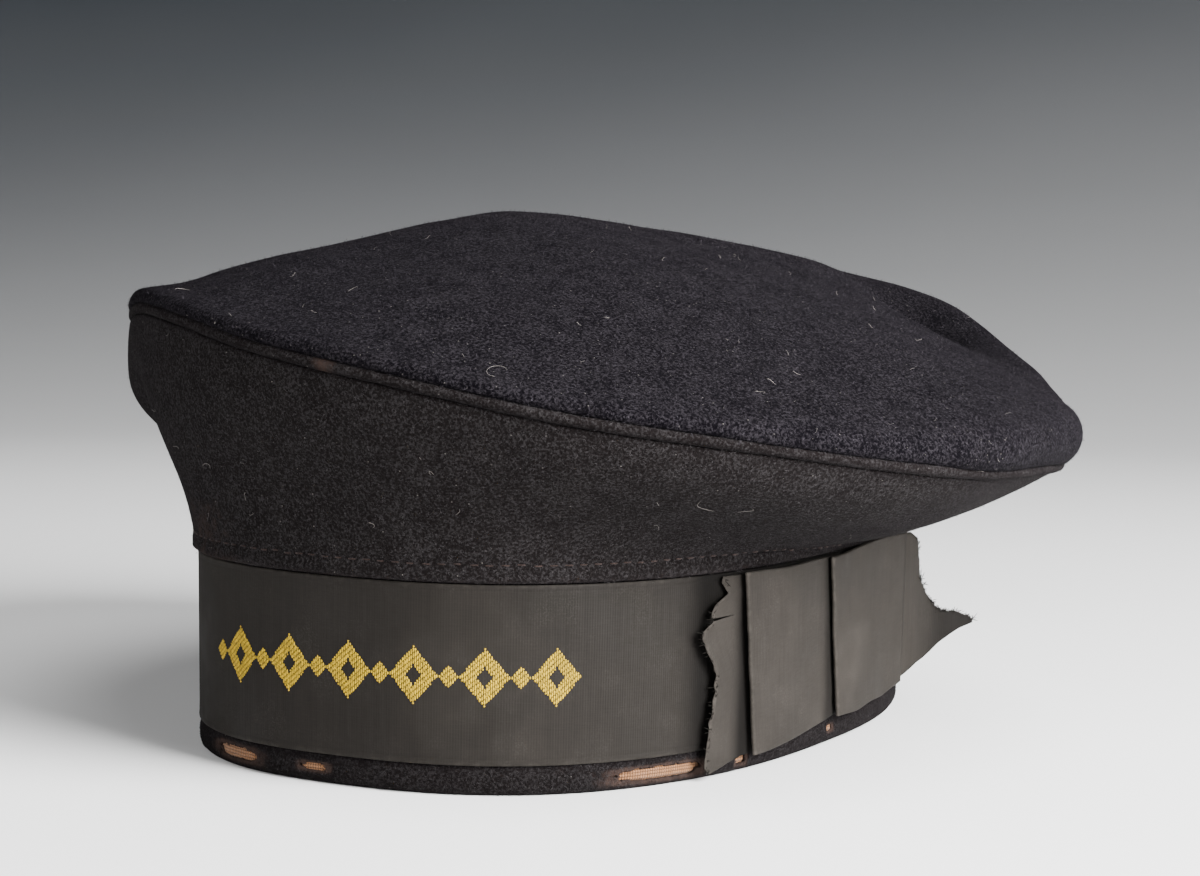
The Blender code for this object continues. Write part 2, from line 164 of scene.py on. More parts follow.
# Torn end of the bow, down its edge: share of RIBBON_WIDTH, azimuth, lift share, drop
TORN_EDGE = (
    (0.985, 321.2, 0.35, 0.00),
    (0.950, 320.9, 0.40, 0.00),
    (0.888, 322.0, 0.50, 0.00),
    (0.832, 318.9, 0.70, 0.00),
    (0.766, 317.8, 0.80, 0.00),
    (0.737, 318.0, 0.84, 0.00),
    (0.687, 316.1, 0.88, 0.00),
    (0.640, 316.1, 0.88, 0.00),
    (0.555, 317.4, 0.82, 0.00),
    (0.442, 319.6, 0.75, 0.00),
    (0.354, 319.3, 0.73, 0.00),
    (0.240, 318.6, 0.78, 0.00),
    (0.115, 318.1, 0.85, 0.00),
    (0.001, 317.7, 0.92, 0.00),
    (-0.087, 317.3, 0.97, 0.03),
    (-0.124, 318.3, 1.00, 0.09),
)

# Loops of the bow: azimuth, lower and upper edge as shares of RIBBON_WIDTH, lift share
FRONT_LOOP = (
    (325.0, -0.072, 0.998, 0.80),
    (329.0, -0.066, 0.998, 0.78),
    (336.0, -0.047, 0.990, 0.70),
    (345.0, -0.020, 0.995, 0.56),
    (353.0, 0.000, 0.995, 0.44),
    (360.0, 0.020, 0.995, 0.34),
)
REAR_LOOP = (
    (352.4, 0.012, 0.995, 0.92),
    (356.0, 0.010, 0.998, 0.92),
    (364.0, 0.000, 1.010, 0.80),
    (374.0, 0.020, 1.025, 0.75),
    (380.0, 0.030, 1.030, 0.90),
    (384.0, 0.062, 1.030, 1.25),
    (387.5, 0.088, 1.030, 1.55),
)

# The tail: way along as a share of TAIL_REACH, flare share, lower and upper edge
TAIL = (
    (-0.45, 0.000, 0.062, 1.028),
    (-0.20, 0.060, 0.066, 1.028),
    (0.00, 0.170, 0.086, 1.028),
    (0.16, 0.270, 0.130, 1.028),
    (0.26, 0.340, 0.165, 0.985),
    (0.32, 0.375, 0.185, 0.740),
    (0.42, 0.450, 0.215, 0.630),
    (0.52, 0.520, 0.250, 0.560),
    (0.64, 0.610, 0.300, 0.510),
    (0.76, 0.720, 0.345, 0.495),
    (0.87, 0.820, 0.380, 0.490),
    (1.00, 1.000, 0.420, 0.445),
)

# Lint and hairs that show from the front: surface, azimuth, place, length, turn in degrees
LINT = (
    ("top", 318, 0.24, 0.0036, 20),
    ("top", 321, 0.26, 0.0030, 75),
    ("top", 327, 0.30, 0.0028, 150),
    ("top", 291, 0.18, 0.0090, 172),
    ("top", 268, 0.36, 0.0030, 120),
    ("top", 246, 0.22, 0.0050, 165),
    ("top", 305, 0.42, 0.0030, 10),
    ("side", 252, 0.45, 0.0030, 80),
    ("side", 258, 0.34, 0.0028, 100),
    ("side", 276, 0.30, 0.0026, 30),
    ("side", 284, 0.60, 0.0026, 150),
    ("side", 313, 0.62, 0.0100, 175),
    ("side", 316, 0.64, 0.0060, 20),
)


def length_property(name, description, default):
    return FloatProperty(
        name=name, description=description, default=default, unit="LENGTH", subtype="DISTANCE"
    )


def colour_property(name, description, default):
    return FloatVectorProperty(
        name=name, description=description, default=default, subtype="COLOR", size=3, min=0, max=1
    )


class CapSizes(bpy.types.PropertyGroup):
    """Thicknesses, thread sizes and fibre counts"""

    wool: length_property("Wool", "Thickness of the crown's wool", 0.0020)
    hem_wool: length_property("Hem wool", "Thickness of the wool at the hem", 0.0012)
    piping: length_property("Piping radius", "Radius of the welt round the rim", 0.00128)
    grain: length_property("Wool grain", "Size of the felted tufts", 0.00062)
    nap: length_property("Nap", "Length of the loose wool fibres", 0.0011)
    rib: length_property("Rib spacing", "Distance between the ribbon's ribs", 0.00058)
    canvas_thread: length_property("Canvas thread", "Spacing of the canvas threads", 0.00062)
    stitch: length_property("Stitch", "Length of a seam stitch", 0.0021)
    float_length: length_property("Gold float", "Length of one gold thread float", 0.00115)
    float_width: length_property("Gold float width", "Width of one gold thread float", 0.00046)
    top_fibres: IntProperty(
        name="Top fibres", description="Loose fibres on the crown's top", default=44000, min=0
    )
    side_fibres: IntProperty(
        name="Side fibres", description="Loose fibres on the side panel", default=30000, min=0
    )
    hem_fibres: IntProperty(
        name="Hem fibres", description="Loose fibres on the hem and welt", default=16000, min=0
    )
    lint: IntProperty(
        name="Lint", description="Light hairs caught on the wool", default=90, min=0
    )


class CapColours(bpy.types.PropertyGroup):
    """Colours of the cloths and the stage"""

    top_wool: colour_property("Top wool", "Navy wool of the top", (0.0016, 0.0012, 0.002))
    top_nap: colour_property("Top nap", "Grey raised nap of the top", (0.017, 0.015, 0.0176))
    side_wool: colour_property("Side wool", "Wool of the side panel", (0.005, 0.0039, 0.004))
    side_nap: colour_property("Side nap", "Raised nap of the side panel", (0.0188, 0.017, 0.0174))
    rubbed: colour_property("Rubbed wool", "Brown where the wool is rubbed", (0.034, 0.022, 0.018))
    lint: colour_property("Lint", "Light lint and dust", (0.17, 0.155, 0.145))
    ribbon: colour_property("Ribbon", "Faded black ribbon", (0.008, 0.0069, 0.0059))
    ribbon_light: colour_property("Faded ribbon", "Where it has faded", (0.0118, 0.0104, 0.009))
    fray: colour_property("Fray", "Frayed ribbon threads", (0.005, 0.0052, 0.0042))
    gold: colour_property("Gold thread", "Woven gold thread", (0.44, 0.285, 0.002))
    canvas: colour_property("Canvas", "Tan canvas", (0.135, 0.052, 0.012))
    floor: colour_property("Floor", "Pale studio floor", (0.86, 0.86, 0.86))
    # Painted shade: the floor's colour turns to this grey far off, and sooner towards the wearer's right
    # and front
    backdrop_painted_shade: colour_property("Backdrop", "Grey of the far backdrop", (0.038, 0.043, 0.05))


def bell(x, centre, spread):
    return np.exp(-(((x - centre) / spread) ** 2))


def turn_between(a, b):
    return (np.asarray(a, float) - b + 180) % 360 - 180


def ease(x):
    x = np.clip(x, 0, 1)
    return x * x * (3 - 2 * x)


def value_noise(points, size, seed):
    """Smooth random values from -1 to 1 at points, from a seeded lattice of cells of that size."""
    lattice = np.random.default_rng(seed).uniform(-1, 1, (NOISE_CELLS,) * 3)
    scaled = np.asarray(points) / size
    cell = np.floor(scaled).astype(int)
    part = ease(scaled - cell)
    total = 0.0
    for dx in (0, 1):
        for dy in (0, 1):
            for dz in (0, 1):
                weight = np.where(dx, part[..., 0], 1 - part[..., 0])
                weight = weight * np.where(dy, part[..., 1], 1 - part[..., 1])
                weight = weight * np.where(dz, part[..., 2], 1 - part[..., 2])
                at = (cell + (dx, dy, dz)) % NOISE_CELLS
                total = total + weight * lattice[at[..., 0], at[..., 1], at[..., 2]]
    return total


def hermite(w, start, end, leaving, arriving):
    """Smooth value at share w of the way between two, from the slopes over the whole way."""
    return (
        (2 * w**3 - 3 * w**2 + 1) * start
        + (w**3 - 2 * w**2 + w) * leaving
        + (3 * w**2 - 2 * w**3) * end
        + (w**3 - w**2) * arriving
    )


def table_column(rows, column):
    return np.array([row[column] for row in rows], float)


def smooth_loop(column, azimuth):
    """A column of the rim table at any azimuth, as a smooth closed curve through its rows."""
    stations = table_column(RIM, 0)
    values = table_column(RIM, RIM_COLUMNS.index(column))
    stations = np.concatenate((stations - 360, stations, stations + 360))
    values = np.tile(values, 3)
    slopes = np.gradient(values, stations)
    angle = np.asarray(azimuth, float) % 360
    i = np.searchsorted(stations, angle, side="right") - 1
    gap = stations[i + 1] - stations[i]
    w = (angle - stations[i]) / gap
    return hermite(w, values[i], values[i + 1], gap * slopes[i], gap * slopes[i + 1])


def smooth_rows(rows, column, x):
    """A column of a table against its first column, as a smooth open curve."""
    stations = table_column(rows, 0)
    values = table_column(rows, column)
    slopes = np.gradient(values, stations)
    x = np.clip(x, stations[0], stations[-1])
    i = np.clip(np.searchsorted(stations, x, side="right") - 1, 0, len(stations) - 2)
    gap = stations[i + 1] - stations[i]
    w = (x - stations[i]) / gap
    return hermite(w, values[i], values[i + 1], gap * slopes[i], gap * slopes[i + 1])


def band_radius(azimuth):
    turn = np.radians(azimuth)
    across = np.abs(np.cos(turn) / (BAND_WIDTH / 2)) ** BAND_SQUARENESS
    along = np.abs(np.sin(turn) / (BAND_LENGTH / 2)) ** BAND_SQUARENESS
    return (across + along) ** (-1 / BAND_SQUARENESS)


def band_plan(azimuth):
    """Plan point on the ribbon's outer face, and the direction along the band."""
    azimuth = np.asarray(azimuth, float)
    points = []
    for step in (-0.05, 0.0, 0.05):
        turn = np.radians(azimuth + step)
        radius = band_radius(azimuth + step)
        points.append(np.stack([radius * np.cos(turn), radius * np.sin(turn)], -1))
    along = points[2] - points[0]
    return points[1], along / np.linalg.norm(along, axis=-1, keepdims=True)


def band_place(azimuth, out, height):
    """Points at a distance out from the ribbon's outer face, measured square to the band."""
    azimuth, out, height = np.broadcast_arrays(
        np.asarray(azimuth, float), np.asarray(out, float), np.asarray(height, float)
    )
    plan, along = band_plan(azimuth)
    far = out + BAND_FLARE_SLOPE * height
    x = plan[..., 0] + along[..., 1] * far
    y = plan[..., 1] - along[..., 0] * far
    return np.stack([x, y, height], -1) + MIDDLE


def band_arc(azimuths):
    """Way round the band in metres at each azimuth of a rising list."""
    plan, _ = band_plan(azimuths)
    steps = np.linalg.norm(np.diff(plan, axis=0), axis=-1)
    return np.concatenate(([0.0], np.cumsum(steps)))


def in_plane(azimuth, radius, height):
    azimuth, radius, height = np.broadcast_arrays(azimuth, radius, height)
    turn = np.radians(azimuth)
    return np.stack([radius * np.cos(turn), radius * np.sin(turn), height], -1)


def beside_piping(azimuth, lean, side, sizes):
    """Where the middle of the wool meets the piping, above it (side 1) or below it (side -1)."""
    gap = 0.90 * sizes.piping
    inset = sizes.piping - PIPING_PROUD - sizes.wool / 2
    radius = smooth_loop("radius", azimuth) * RIM_RADIUS
    height = smooth_loop("height", azimuth) * CROWN_HEIGHT
    radius = radius + side * gap * np.sin(lean) + inset * np.cos(lean)
    height = height + side * gap * np.cos(lean) - inset * np.sin(lean)
    return radius, height


def side_middle(azimuth, foot_rows, shares, sizes):
    """Middle of the side panel: a straight foot behind the seam, then a curve out to the welt."""
    foot = np.radians(smooth_loop("foot", azimuth))
    lean = np.radians(smooth_loop("lean", azimuth))
    plan, along = band_plan(azimuth)
    far = BAND_FACE + CLEARANCE + sizes.wool / 2 + BAND_FLARE_SLOPE * SEAM_HEIGHT
    seam_x = plan[:, 0] + along[:, 1] * far
    seam_y = plan[:, 1] - along[:, 0] * far
    seam = np.hypot(seam_x, seam_y)
    top = SEAM_HEIGHT + SEAM_OVERLAP * np.cos(foot) ** 0.5
    radius, height = beside_piping(azimuth, lean, -1, sizes)
    reach = np.hypot(radius - seam, height - top) * SIDE_EASE_SHARE
    columns = [
        in_plane(azimuth, seam, SEAM_HEIGHT + (top - SEAM_HEIGHT) * i / foot_rows)
        for i in range(foot_rows)
    ]
    corners_r = (seam, seam + reach * np.sin(foot), radius - reach * np.sin(lean), radius)
    corners_z = (top, top + reach * np.cos(foot), height - reach * np.cos(lean), height)
    for t in shares:
        weights = ((1 - t) ** 3, 3 * t * (1 - t) ** 2, 3 * t**2 * (1 - t), t**3)
        r = sum(w * c for w, c in zip(weights, corners_r))
        z = sum(w * c for w, c in zip(weights, corners_z))
        fade = math.sin(math.pi * t)
        for place, spread, level, tall, depth in SIDE_FOLDS:
            near = bell(turn_between(azimuth, place), 0, spread) * bell(t, level, tall)
            r = r + FOLD_DEPTH * depth * near * fade
        columns.append(in_plane(azimuth, r, z))
    return np.stack(columns, 1) + MIDDLE


def dome_rise(t, full):
    rounding = PEAK_ROUNDING / RIM_RADIUS
    foot = math.hypot(1, rounding)
    cone = (foot - math.hypot(1 - t, rounding)) / (foot - rounding)
    return cone + 1.35 * full * t * (1 - t) ** 1.5


def top_middle(azimuth, roll_shares, dome_shares, sizes):
    """Middle of the crown's top, from the welt over the rolled edge to the peak."""
    roll = smooth_loop("roll", azimuth) * ROLL_RADIUS
    full = smooth_loop("full", azimuth)
    peak_z = CROWN_HEIGHT - sizes.wool / 2
    start = -np.radians(smooth_loop("tuck", azimuth))
    radius, height = beside_piping(azimuth, -start, 1, sizes)
    centre_r = radius - roll * np.cos(start)
    centre_z = height - roll * np.sin(start)
    rise = (peak_z - centre_z - roll) * dome_rise(SLOPE_SHARE, full) / SLOPE_SHARE
    end = math.pi / 2 - np.arctan(rise / centre_r)
    columns = []
    for share in roll_shares:
        turn = start + (end - start) * share
        columns.append(
            in_plane(azimuth, centre_r + roll * np.cos(turn), centre_z + roll * np.sin(turn))
        )
    edge = columns[-1]
    peak = np.array([PEAK_SIDE, PEAK_BACK, peak_z])
    for t in dome_shares:
        point = edge + (peak - edge) * t
        point[:, 2] = edge[:, 2] + (peak_z - edge[:, 2]) * dome_rise(t, full)
        for place, spread, level, wide, depth in TOP_FOLDS:
            near = bell(turn_between(azimuth, place), 0, spread) * bell(t, level, wide)
            point[:, 2] += FOLD_DEPTH * depth * near * min(1.0, 6 * t * (1 - t))
        columns.append(point)
    return np.stack(columns, 1) + MIDDLE


def grid_normals(points, wrap, pole=False):
    if wrap:
        du = np.roll(points, -1, 0) - np.roll(points, 1, 0)
    else:
        du = np.gradient(points, axis=0)
    dv = np.gradient(points, axis=1)
    normal = np.cross(du, dv)
    length = np.linalg.norm(normal, axis=-1, keepdims=True)
    normal = normal / np.maximum(length, 1e-15)
    if pole:
        mean = normal[:, -2].mean(0)
        normal[:, -1] = mean / np.linalg.norm(mean)
    return normal


def edge_rounding(points, radius, wrap, pole=False):
    """Share of the thickness at each point, falling off round the free edges."""
    steps = np.linalg.norm(np.diff(points, axis=1), axis=-1)
    along = np.concatenate((np.zeros((len(points), 1)), np.cumsum(steps, 1)), 1)
    near = along if pole else np.minimum(along, along[:, -1:] - along)
    if not wrap:
        steps = np.linalg.norm(np.diff(points, axis=0), axis=-1)
        across = np.concatenate((np.zeros((1, points.shape[1])), np.cumsum(steps, 0)), 0)
        near = np.minimum(near, np.minimum(across, across[-1:] - across))
    share = 1 - np.clip(near / radius, 0, 1)
    return np.sqrt(np.clip(1 - share**2, 0.05, 1))[..., None]


def shell_quads(keep, wrap):
    """Corner indices (column, row, face side) of a closed shell over the kept cells."""
    i, j = np.nonzero(keep)
    columns, rows = keep.shape
    i2 = i + 1
    corners = [(i, j), (i2, j), (i2, j + 1), (i, j + 1)]
    quads = [[(a, b, 0) for a, b in corners], [(a, b, 1) for a, b in corners[::-1]]]
    around = np.pad(keep, 1)
    if wrap:
        around[0, 1:-1] = keep[-1]
        around[-1, 1:-1] = keep[0]
    beside = (
        around[i + 1, j],
        around[i + 2, j + 1],
        around[i + 1, j + 2],
        around[i, j + 1],
    )
    for side, kept in enumerate(beside):
        free = ~kept
        a = corners[side]
        b = corners[(side + 1) % 4]
        ax, ay, bx, by = a[0][free], a[1][free], b[0][free], b[1][free]
        quads.append([(bx, by, 0), (ax, ay, 0), (ax, ay, 1), (bx, by, 1)])
    column = np.concatenate([np.stack([c[0] for c in quad], 1) for quad in quads])
    row = np.concatenate([np.stack([c[1] for c in quad], 1) for quad in quads])
    face = np.concatenate(
        [np.stack([np.full(len(quad[0][0]), c[2]) for c in quad], 1) for quad in quads]
    )
    return column, row, face


def new_object(name, mesh, material):
    mesh.materials.append(material)
    mesh.polygons.foreach_set("use_smooth", np.ones(len(mesh.polygons), bool))
    mesh.update()
    made = bpy.data.objects.new(name, mesh)
    bpy.context.scene.collection.objects.link(made)
    return made


def add_attribute(mesh, name, values):
    made = mesh.attributes.new(name, "FLOAT", "POINT")
    made.data.foreach_set("value", np.asarray(values, np.float32).ravel())


def cloth_shell(
    name, middle, normals, halves, material, wrap, keep=None, cloth_map=None, wear=0.0, painted_shade_and_darkening=0.0
):
    """A closed piece of cloth about a grid of points, joined round its free edges.

    halves gives how far its outer and its inner face stand off the grid.
    """
    outer = middle + normals * halves[0]
    inner = middle - normals * halves[1]
    columns, rows = middle.shape[:2]
    if keep is None:
        keep = np.ones((columns if wrap else columns - 1, rows - 1), bool)
    column, row, face = shell_quads(keep, wrap)
    index = face * columns * rows + (column % columns) * rows + row
    points = np.concatenate((outer.reshape(-1, 3), inner.reshape(-1, 3)))
    used, index = np.unique(index, return_inverse=True)
    index = index.reshape(column.shape)
    mesh = bpy.data.meshes.new(name)
    mesh.from_pydata(points[used].tolist(), [], index.tolist())
    if cloth_map is not None:
        layer = mesh.uv_layers.new(name="cloth")
        layer.data.foreach_set("uv", cloth_map[column, row].astype(np.float32).ravel())
    # The second attribute holds painted shade, and on the hem a plain darkening of the wool
    for label, values in (("wear", wear), ("painted_shade_and_darkening", painted_shade_and_darkening)):
        values = np.broadcast_to(values, (columns, rows)).ravel()
        add_attribute(mesh, label, np.concatenate((values, values))[used])
    return new_object(name, mesh, material)


def metre_map(points, wrap):
    """Way along and up the cloth in metres for each grid corner, with one more column on a ring."""
    middle = points.shape[1] // 2
    ring = points[:, middle]
    if wrap:
        ring = np.concatenate((ring, ring[:1]))
        points = np.concatenate((points, points[:1]))
    along = np.concatenate(([0.0], np.cumsum(np.linalg.norm(np.diff(ring, axis=0), axis=-1))))
    steps = np.linalg.norm(np.diff(points, axis=1), axis=-1)
    up = np.concatenate((np.zeros((len(points), 1)), np.cumsum(steps, 1)), 1)
    return np.stack([np.broadcast_to(along[:, None], up.shape), up], -1)


def merge_pole(made, near):
    shape = bmesh.new()
    shape.from_mesh(made.data)
    close = [v for v in shape.verts if (v.co.xy - near.xy).length < 1e-5]
    bmesh.ops.remove_doubles(shape, verts=close, dist=1e-5)
    shape.to_mesh(made.data)
    shape.free()


def threads(name, paths, radii, material, sides, tints=None):
    """Round threads along point lists, thinner at both ends, as one piece."""
    points, faces, tint_values = [], [], []
    turns = np.arange(sides) * 2 * math.pi / sides
    for number, (path, radius) in enumerate(zip(paths, radii)):
        path = np.asarray(path, float)
        ahead = np.gradient(path, axis=0)
        ahead /= np.maximum(np.linalg.norm(ahead, axis=1, keepdims=True), 1e-12)
        side = np.cross(ahead, (0.31, 0.17, 0.94))
        side /= np.maximum(np.linalg.norm(side, axis=1, keepdims=True), 1e-12)
        up = np.cross(side, ahead)
        share = np.linspace(0, 1, len(path))
        thick = radius * np.sqrt(np.clip(1 - (2 * share - 1) ** 4, 0.1, 1))
        ring = side[:, None] * np.cos(turns)[None, :, None] + up[:, None] * np.sin(turns)[None, :, None]
        start = len(points) * sides
        points.extend(path[:, None] + ring * thick[:, None, None])
        tint_values.append(np.full(len(path) * sides, 0.0 if tints is None else tints[number]))
        for i in range(len(path) - 1):
            for k in range(sides):
                a = start + i * sides + k
                b = start + i * sides + (k + 1) % sides
                faces.append((a, b, b + sides, a + sides))
        faces.append(tuple(start + k for k in range(sides))[::-1])
        last = start + (len(path) - 1) * sides
        faces.append(tuple(last + k for k in range(sides)))
    mesh = bpy.data.meshes.new(name)
    mesh.from_pydata(np.concatenate(points).tolist(), [], faces)
    add_attribute(mesh, "tint", np.concatenate(tint_values))
    return new_object(name, mesh, material)


def spread_over(points, normals, count, rng, bias=None):
    """Random places on a grid of points: position, normal and direction along the grid."""
    span = np.linalg.norm(np.roll(points, -1, 0) - points, axis=-1)
    step = np.linalg.norm(np.diff(points, axis=1, append=points[:, -1:]), axis=-1)
    weight = (span * step).ravel()
    if bias is not None:
        weight = weight * bias.ravel()
    pick = rng.choice(len(weight), count, p=weight / weight.sum())
    i, j = np.divmod(pick, points.shape[1])
    i2 = (i + 1) % len(points)
    j2 = np.minimum(j + 1, points.shape[1] - 1)
    u, v = rng.random((2, count, 1))
    low = points[i, j] * (1 - u) + points[i2, j] * u
    high = points[i, j2] * (1 - u) + points[i2, j2] * u
    return low * (1 - v) + high * v, normals[i, j], points[i2, j] - points[i, j]


def nap(name, places, normals, material, rng, length, rise):
    """Loose wool fibres: thin bent blades rooted in the cloth."""
    count = len(places)
    skew = rng.normal(size=(count, 3))
    flat = skew - normals * np.sum(skew * normals, 1, keepdims=True)
    flat /= np.linalg.norm(flat, axis=1, keepdims=True)
    lift = rng.uniform(*rise, (count, 1))
    size = length * rng.uniform(0.45, 1.5, (count, 1))
    root = places - normals * 0.00012
    middle = root + (flat * (1 - lift) + normals * lift) * size * 0.55
    bend = rng.normal(size=(count, 3)) * 0.35
    tip = middle + (flat + bend - normals * lift * 0.4) * size * 0.45
    wide = np.cross(flat, normals)
    wide = wide * rng.uniform(0.000020, 0.000042, (count, 1))
    points = np.stack((root - wide, root + wide, middle - wide, middle + wide, tip), 1)
    base = np.arange(count)[:, None] * 5
    quads = (base + (0, 1, 3, 2)).tolist()
    tips = (base + (2, 3, 4)).tolist()
    mesh = bpy.data.meshes.new(name)
    mesh.from_pydata(points.reshape(-1, 3).tolist(), [], quads + tips)
    add_attribute(mesh, "tint", np.repeat(rng.random(count) ** 3, 5))
    return new_object(name, mesh, material)


def feed(tree, socket, value):
    if isinstance(value, bpy.types.NodeSocket):
        tree.links.new(value, socket)
    else:
        socket.default_value = value


def maths(tree, operation, *values, clamp=False):
    made = tree.nodes.new("ShaderNodeMath")
    made.operation = operation
    made.use_clamp = clamp
    for socket, value in zip(made.inputs, values):
        feed(tree, socket, value)
    return made.outputs[0]


def times(tree, first, second, clamp=False):
    return maths(tree, "MULTIPLY", first, second, clamp=clamp)


def plus(tree, first, second):
    return maths(tree, "ADD", first, second)


def noise(tree, vector, scale, detail=2.0, roughness=0.5):
    made = tree.nodes.new("ShaderNodeTexNoise")
    feed(tree, made.inputs["Vector"], vector)
    feed(tree, made.inputs["Scale"], scale)
    made.inputs["Detail"].default_value = detail
    made.inputs["Roughness"].default_value = roughness
    return made.outputs["Fac"]


def between(tree, value, low, high):
    made = tree.nodes.new("ShaderNodeMapRange")
    made.interpolation_type = "SMOOTHSTEP"
    feed(tree, made.inputs["Value"], value)
    feed(tree, made.inputs["From Min"], low)
    feed(tree, made.inputs["From Max"], high)
    return made.outputs["Result"]


def stretch(tree, vector, scale):
    made = tree.nodes.new("ShaderNodeVectorMath")
    made.operation = "MULTIPLY"
    feed(tree, made.inputs[0], vector)
    feed(tree, made.inputs[1], scale)
    return made.outputs[0]


def scaled(colour, factor):
    return tuple(factor * c for c in colour)


def opaque(colour):
    """A colour with its alpha, or the socket that gives one."""
    return colour if isinstance(colour, bpy.types.NodeSocket) else (*colour, 1)


def mix_colours(tree, share, first, second):
    made = tree.nodes.new("ShaderNodeMix")
    made.data_type = "RGBA"
    feed(tree, made.inputs[0], share)
    feed(tree, made.inputs[6], opaque(first))
    feed(tree, made.inputs[7], opaque(second))
    return made.outputs[2]


def start_group(name, inputs, outputs):
    """A shader node group with named float or vector sockets, and its two end nodes."""
    group = bpy.data.node_groups.new(name, "ShaderNodeTree")
    for label, kind, default in inputs:
        made = group.interface.new_socket(label, in_out="INPUT", socket_type=kind)
        if default is not None:
            made.default_value = default
    for label in outputs:
        group.interface.new_socket(label, in_out="OUTPUT", socket_type="NodeSocketFloat")
    ends = group.nodes.new("NodeGroupInput"), group.nodes.new("NodeGroupOutput")
    return group, ends[0].outputs, ends[1].inputs


def wool_grain_group():
    """Felted tufts, soft clumps and pale flecks of milled wool."""
    group, given, out = start_group(
        "wool_grain",
        (
            ("Vector", "NodeSocketVector", None),
            ("Tuft Size", "NodeSocketFloat", 0.0009),
            ("Fleck Share", "NodeSocketFloat", 0.15),
        ),
        ("Height", "Shade", "Strands", "Flecks"),
    )
    scale = maths(group, "DIVIDE", 1.0, given["Tuft Size"])
    tufts = noise(group, given["Vector"], scale, 4.0, 0.75)
    fine = noise(group, given["Vector"], times(group, scale, 2.3), 2.0, 0.6)
    clumps = noise(group, given["Vector"], times(group, scale, 0.10), 3.0, 0.6)
    curled = noise(group, given["Vector"], times(group, scale, 0.85), 1.0, 0.5)
    line = maths(group, "ABSOLUTE", maths(group, "SUBTRACT", curled, 0.5))
    strands = between(group, line, 0.030, 0.004)
    sparse = between(group, noise(group, given["Vector"], times(group, scale, 0.6)), 0.50, 0.62)
    strands = times(group, strands, sparse)
    height = plus(group, times(group, tufts, 0.6), times(group, fine, 0.3))
    height = plus(group, height, times(group, strands, 0.22))
    both = plus(group, tufts, times(group, clumps, 0.16))
    feed(group, out["Height"], height)
    feed(group, out["Shade"], between(group, both, 0.53, 0.72))
    feed(group, out["Strands"], strands)
    cells = group.nodes.new("ShaderNodeTexVoronoi")
    feed(group, cells.inputs["Vector"], given["Vector"])
    feed(group, cells.inputs["Scale"], times(group, scale, 0.55))
    dot = between(group, cells.outputs["Distance"], 0.17, 0.06)
    picked = group.nodes.new("ShaderNodeSeparateColor")
    feed(group, picked.inputs[0], cells.outputs["Color"])
    chosen = maths(group, "LESS_THAN", picked.outputs[0], given["Fleck Share"])
    strength = times(group, picked.outputs[1], 0.8)
    flecks = times(group, times(group, dot, chosen), strength)
    feed(group, out["Flecks"], flecks)
    return group


def dust_group():
    """Patches of settled dust, broken up finely."""
    group, given, out = start_group(
        "settled_dust",
        (
            ("Vector", "NodeSocketVector", None),
            ("Patch Size", "NodeSocketFloat", 0.02),
            ("Amount", "NodeSocketFloat", 0.3),
        ),
        ("Mask",),
    )
    scale = maths(group, "DIVIDE", 1.0, given["Patch Size"])
    patches = between(group, noise(group, given["Vector"], scale, 4.0, 0.6), 0.42, 0.75)
    fine = between(group, noise(group, given["Vector"], times(group, scale, 24.0), 3.0, 0.7), 0.45, 0.8)
    mask = times(group, times(group, patches, fine), given["Amount"], clamp=True)
    feed(group, out["Mask"], mask)
    return group


def ribbed_weave_group():
    """Fine ribs across a ribbon, with the thread-to-thread change of shade of a faded weave."""
    group, given, out = start_group(
        "ribbed_weave",
        (("Map", "NodeSocketVector", None), ("Rib Spacing", "NodeSocketFloat", 0.0006)),
        ("Height", "Shade"),
    )
    parts = group.nodes.new("ShaderNodeSeparateXYZ")
    feed(group, parts.inputs[0], given["Map"])
    turns = maths(group, "DIVIDE", parts.outputs["X"], given["Rib Spacing"])
    wave = maths(group, "SINE", times(group, turns, 2 * math.pi))
    ribs = plus(group, times(group, wave, 0.5), 0.5)
    streaks = noise(group, stretch(group, given["Map"], (1.0, 0.035, 1.0)), 1500.0, 3.0, 0.7)
    weft = noise(group, stretch(group, given["Map"], (0.12, 1.0, 1.0)), 2600.0, 2.0, 0.6)
    height = plus(group, times(group, ribs, 0.35), times(group, weft, 0.65))
    feed(group, out["Height"], height)
    shade = plus(group, times(group, streaks, 0.55), times(group, ribs, 0.08))
    shade = plus(group, shade, times(group, weft, 0.37))
    feed(group, out["Shade"], between(group, shade, 0.32, 0.68))
    return group


def plain_weave_group():
    """Over-and-under threads of canvas: height of the threads and the dark gaps between them."""
    group, given, out = start_group(
        "plain_weave",
        (("Map", "NodeSocketVector", None), ("Thread Spacing", "NodeSocketFloat", 0.0006)),
        ("Height", "Gap"),
    )
    parts = group.nodes.new("ShaderNodeSeparateXYZ")
    feed(group, parts.inputs[0], given["Map"])
    turns = [
        times(group, maths(group, "DIVIDE", parts.outputs[k], given["Thread Spacing"]), math.pi)
        for k in ("X", "Y")
    ]
    over = times(group, maths(group, "SINE", turns[0]), maths(group, "SINE", turns[1]))
    wander = noise(group, given["Map"], 900.0, 2.0, 0.6)
    threads_height = maths(group, "ABSOLUTE", over)
    height = plus(group, times(group, threads_height, 0.75), times(group, wander, 0.4))
    feed(group, out["Height"], height)
    feed(group, out["Gap"], between(group, threads_height, 0.42, 0.05))
    return group


def edge_wear_group():
    """Turns the painted wear of a piece into broken-up rubbed places."""
    group, given, out = start_group(
        "edge_wear",
        (
            ("Vector", "NodeSocketVector", None),
            ("Wear", "NodeSocketFloat", 0.0),
            ("Break Size", "NodeSocketFloat", 0.003),
        ),
        ("Mask",),
    )
    scale = maths(group, "DIVIDE", 1.0, given["Break Size"])
    broken = noise(group, given["Vector"], scale, 4.0, 0.7)
    total = plus(group, given["Wear"], times(group, broken, 0.9))
    feed(group, out["Mask"], between(group, total, 0.62, 1.25))
    return group


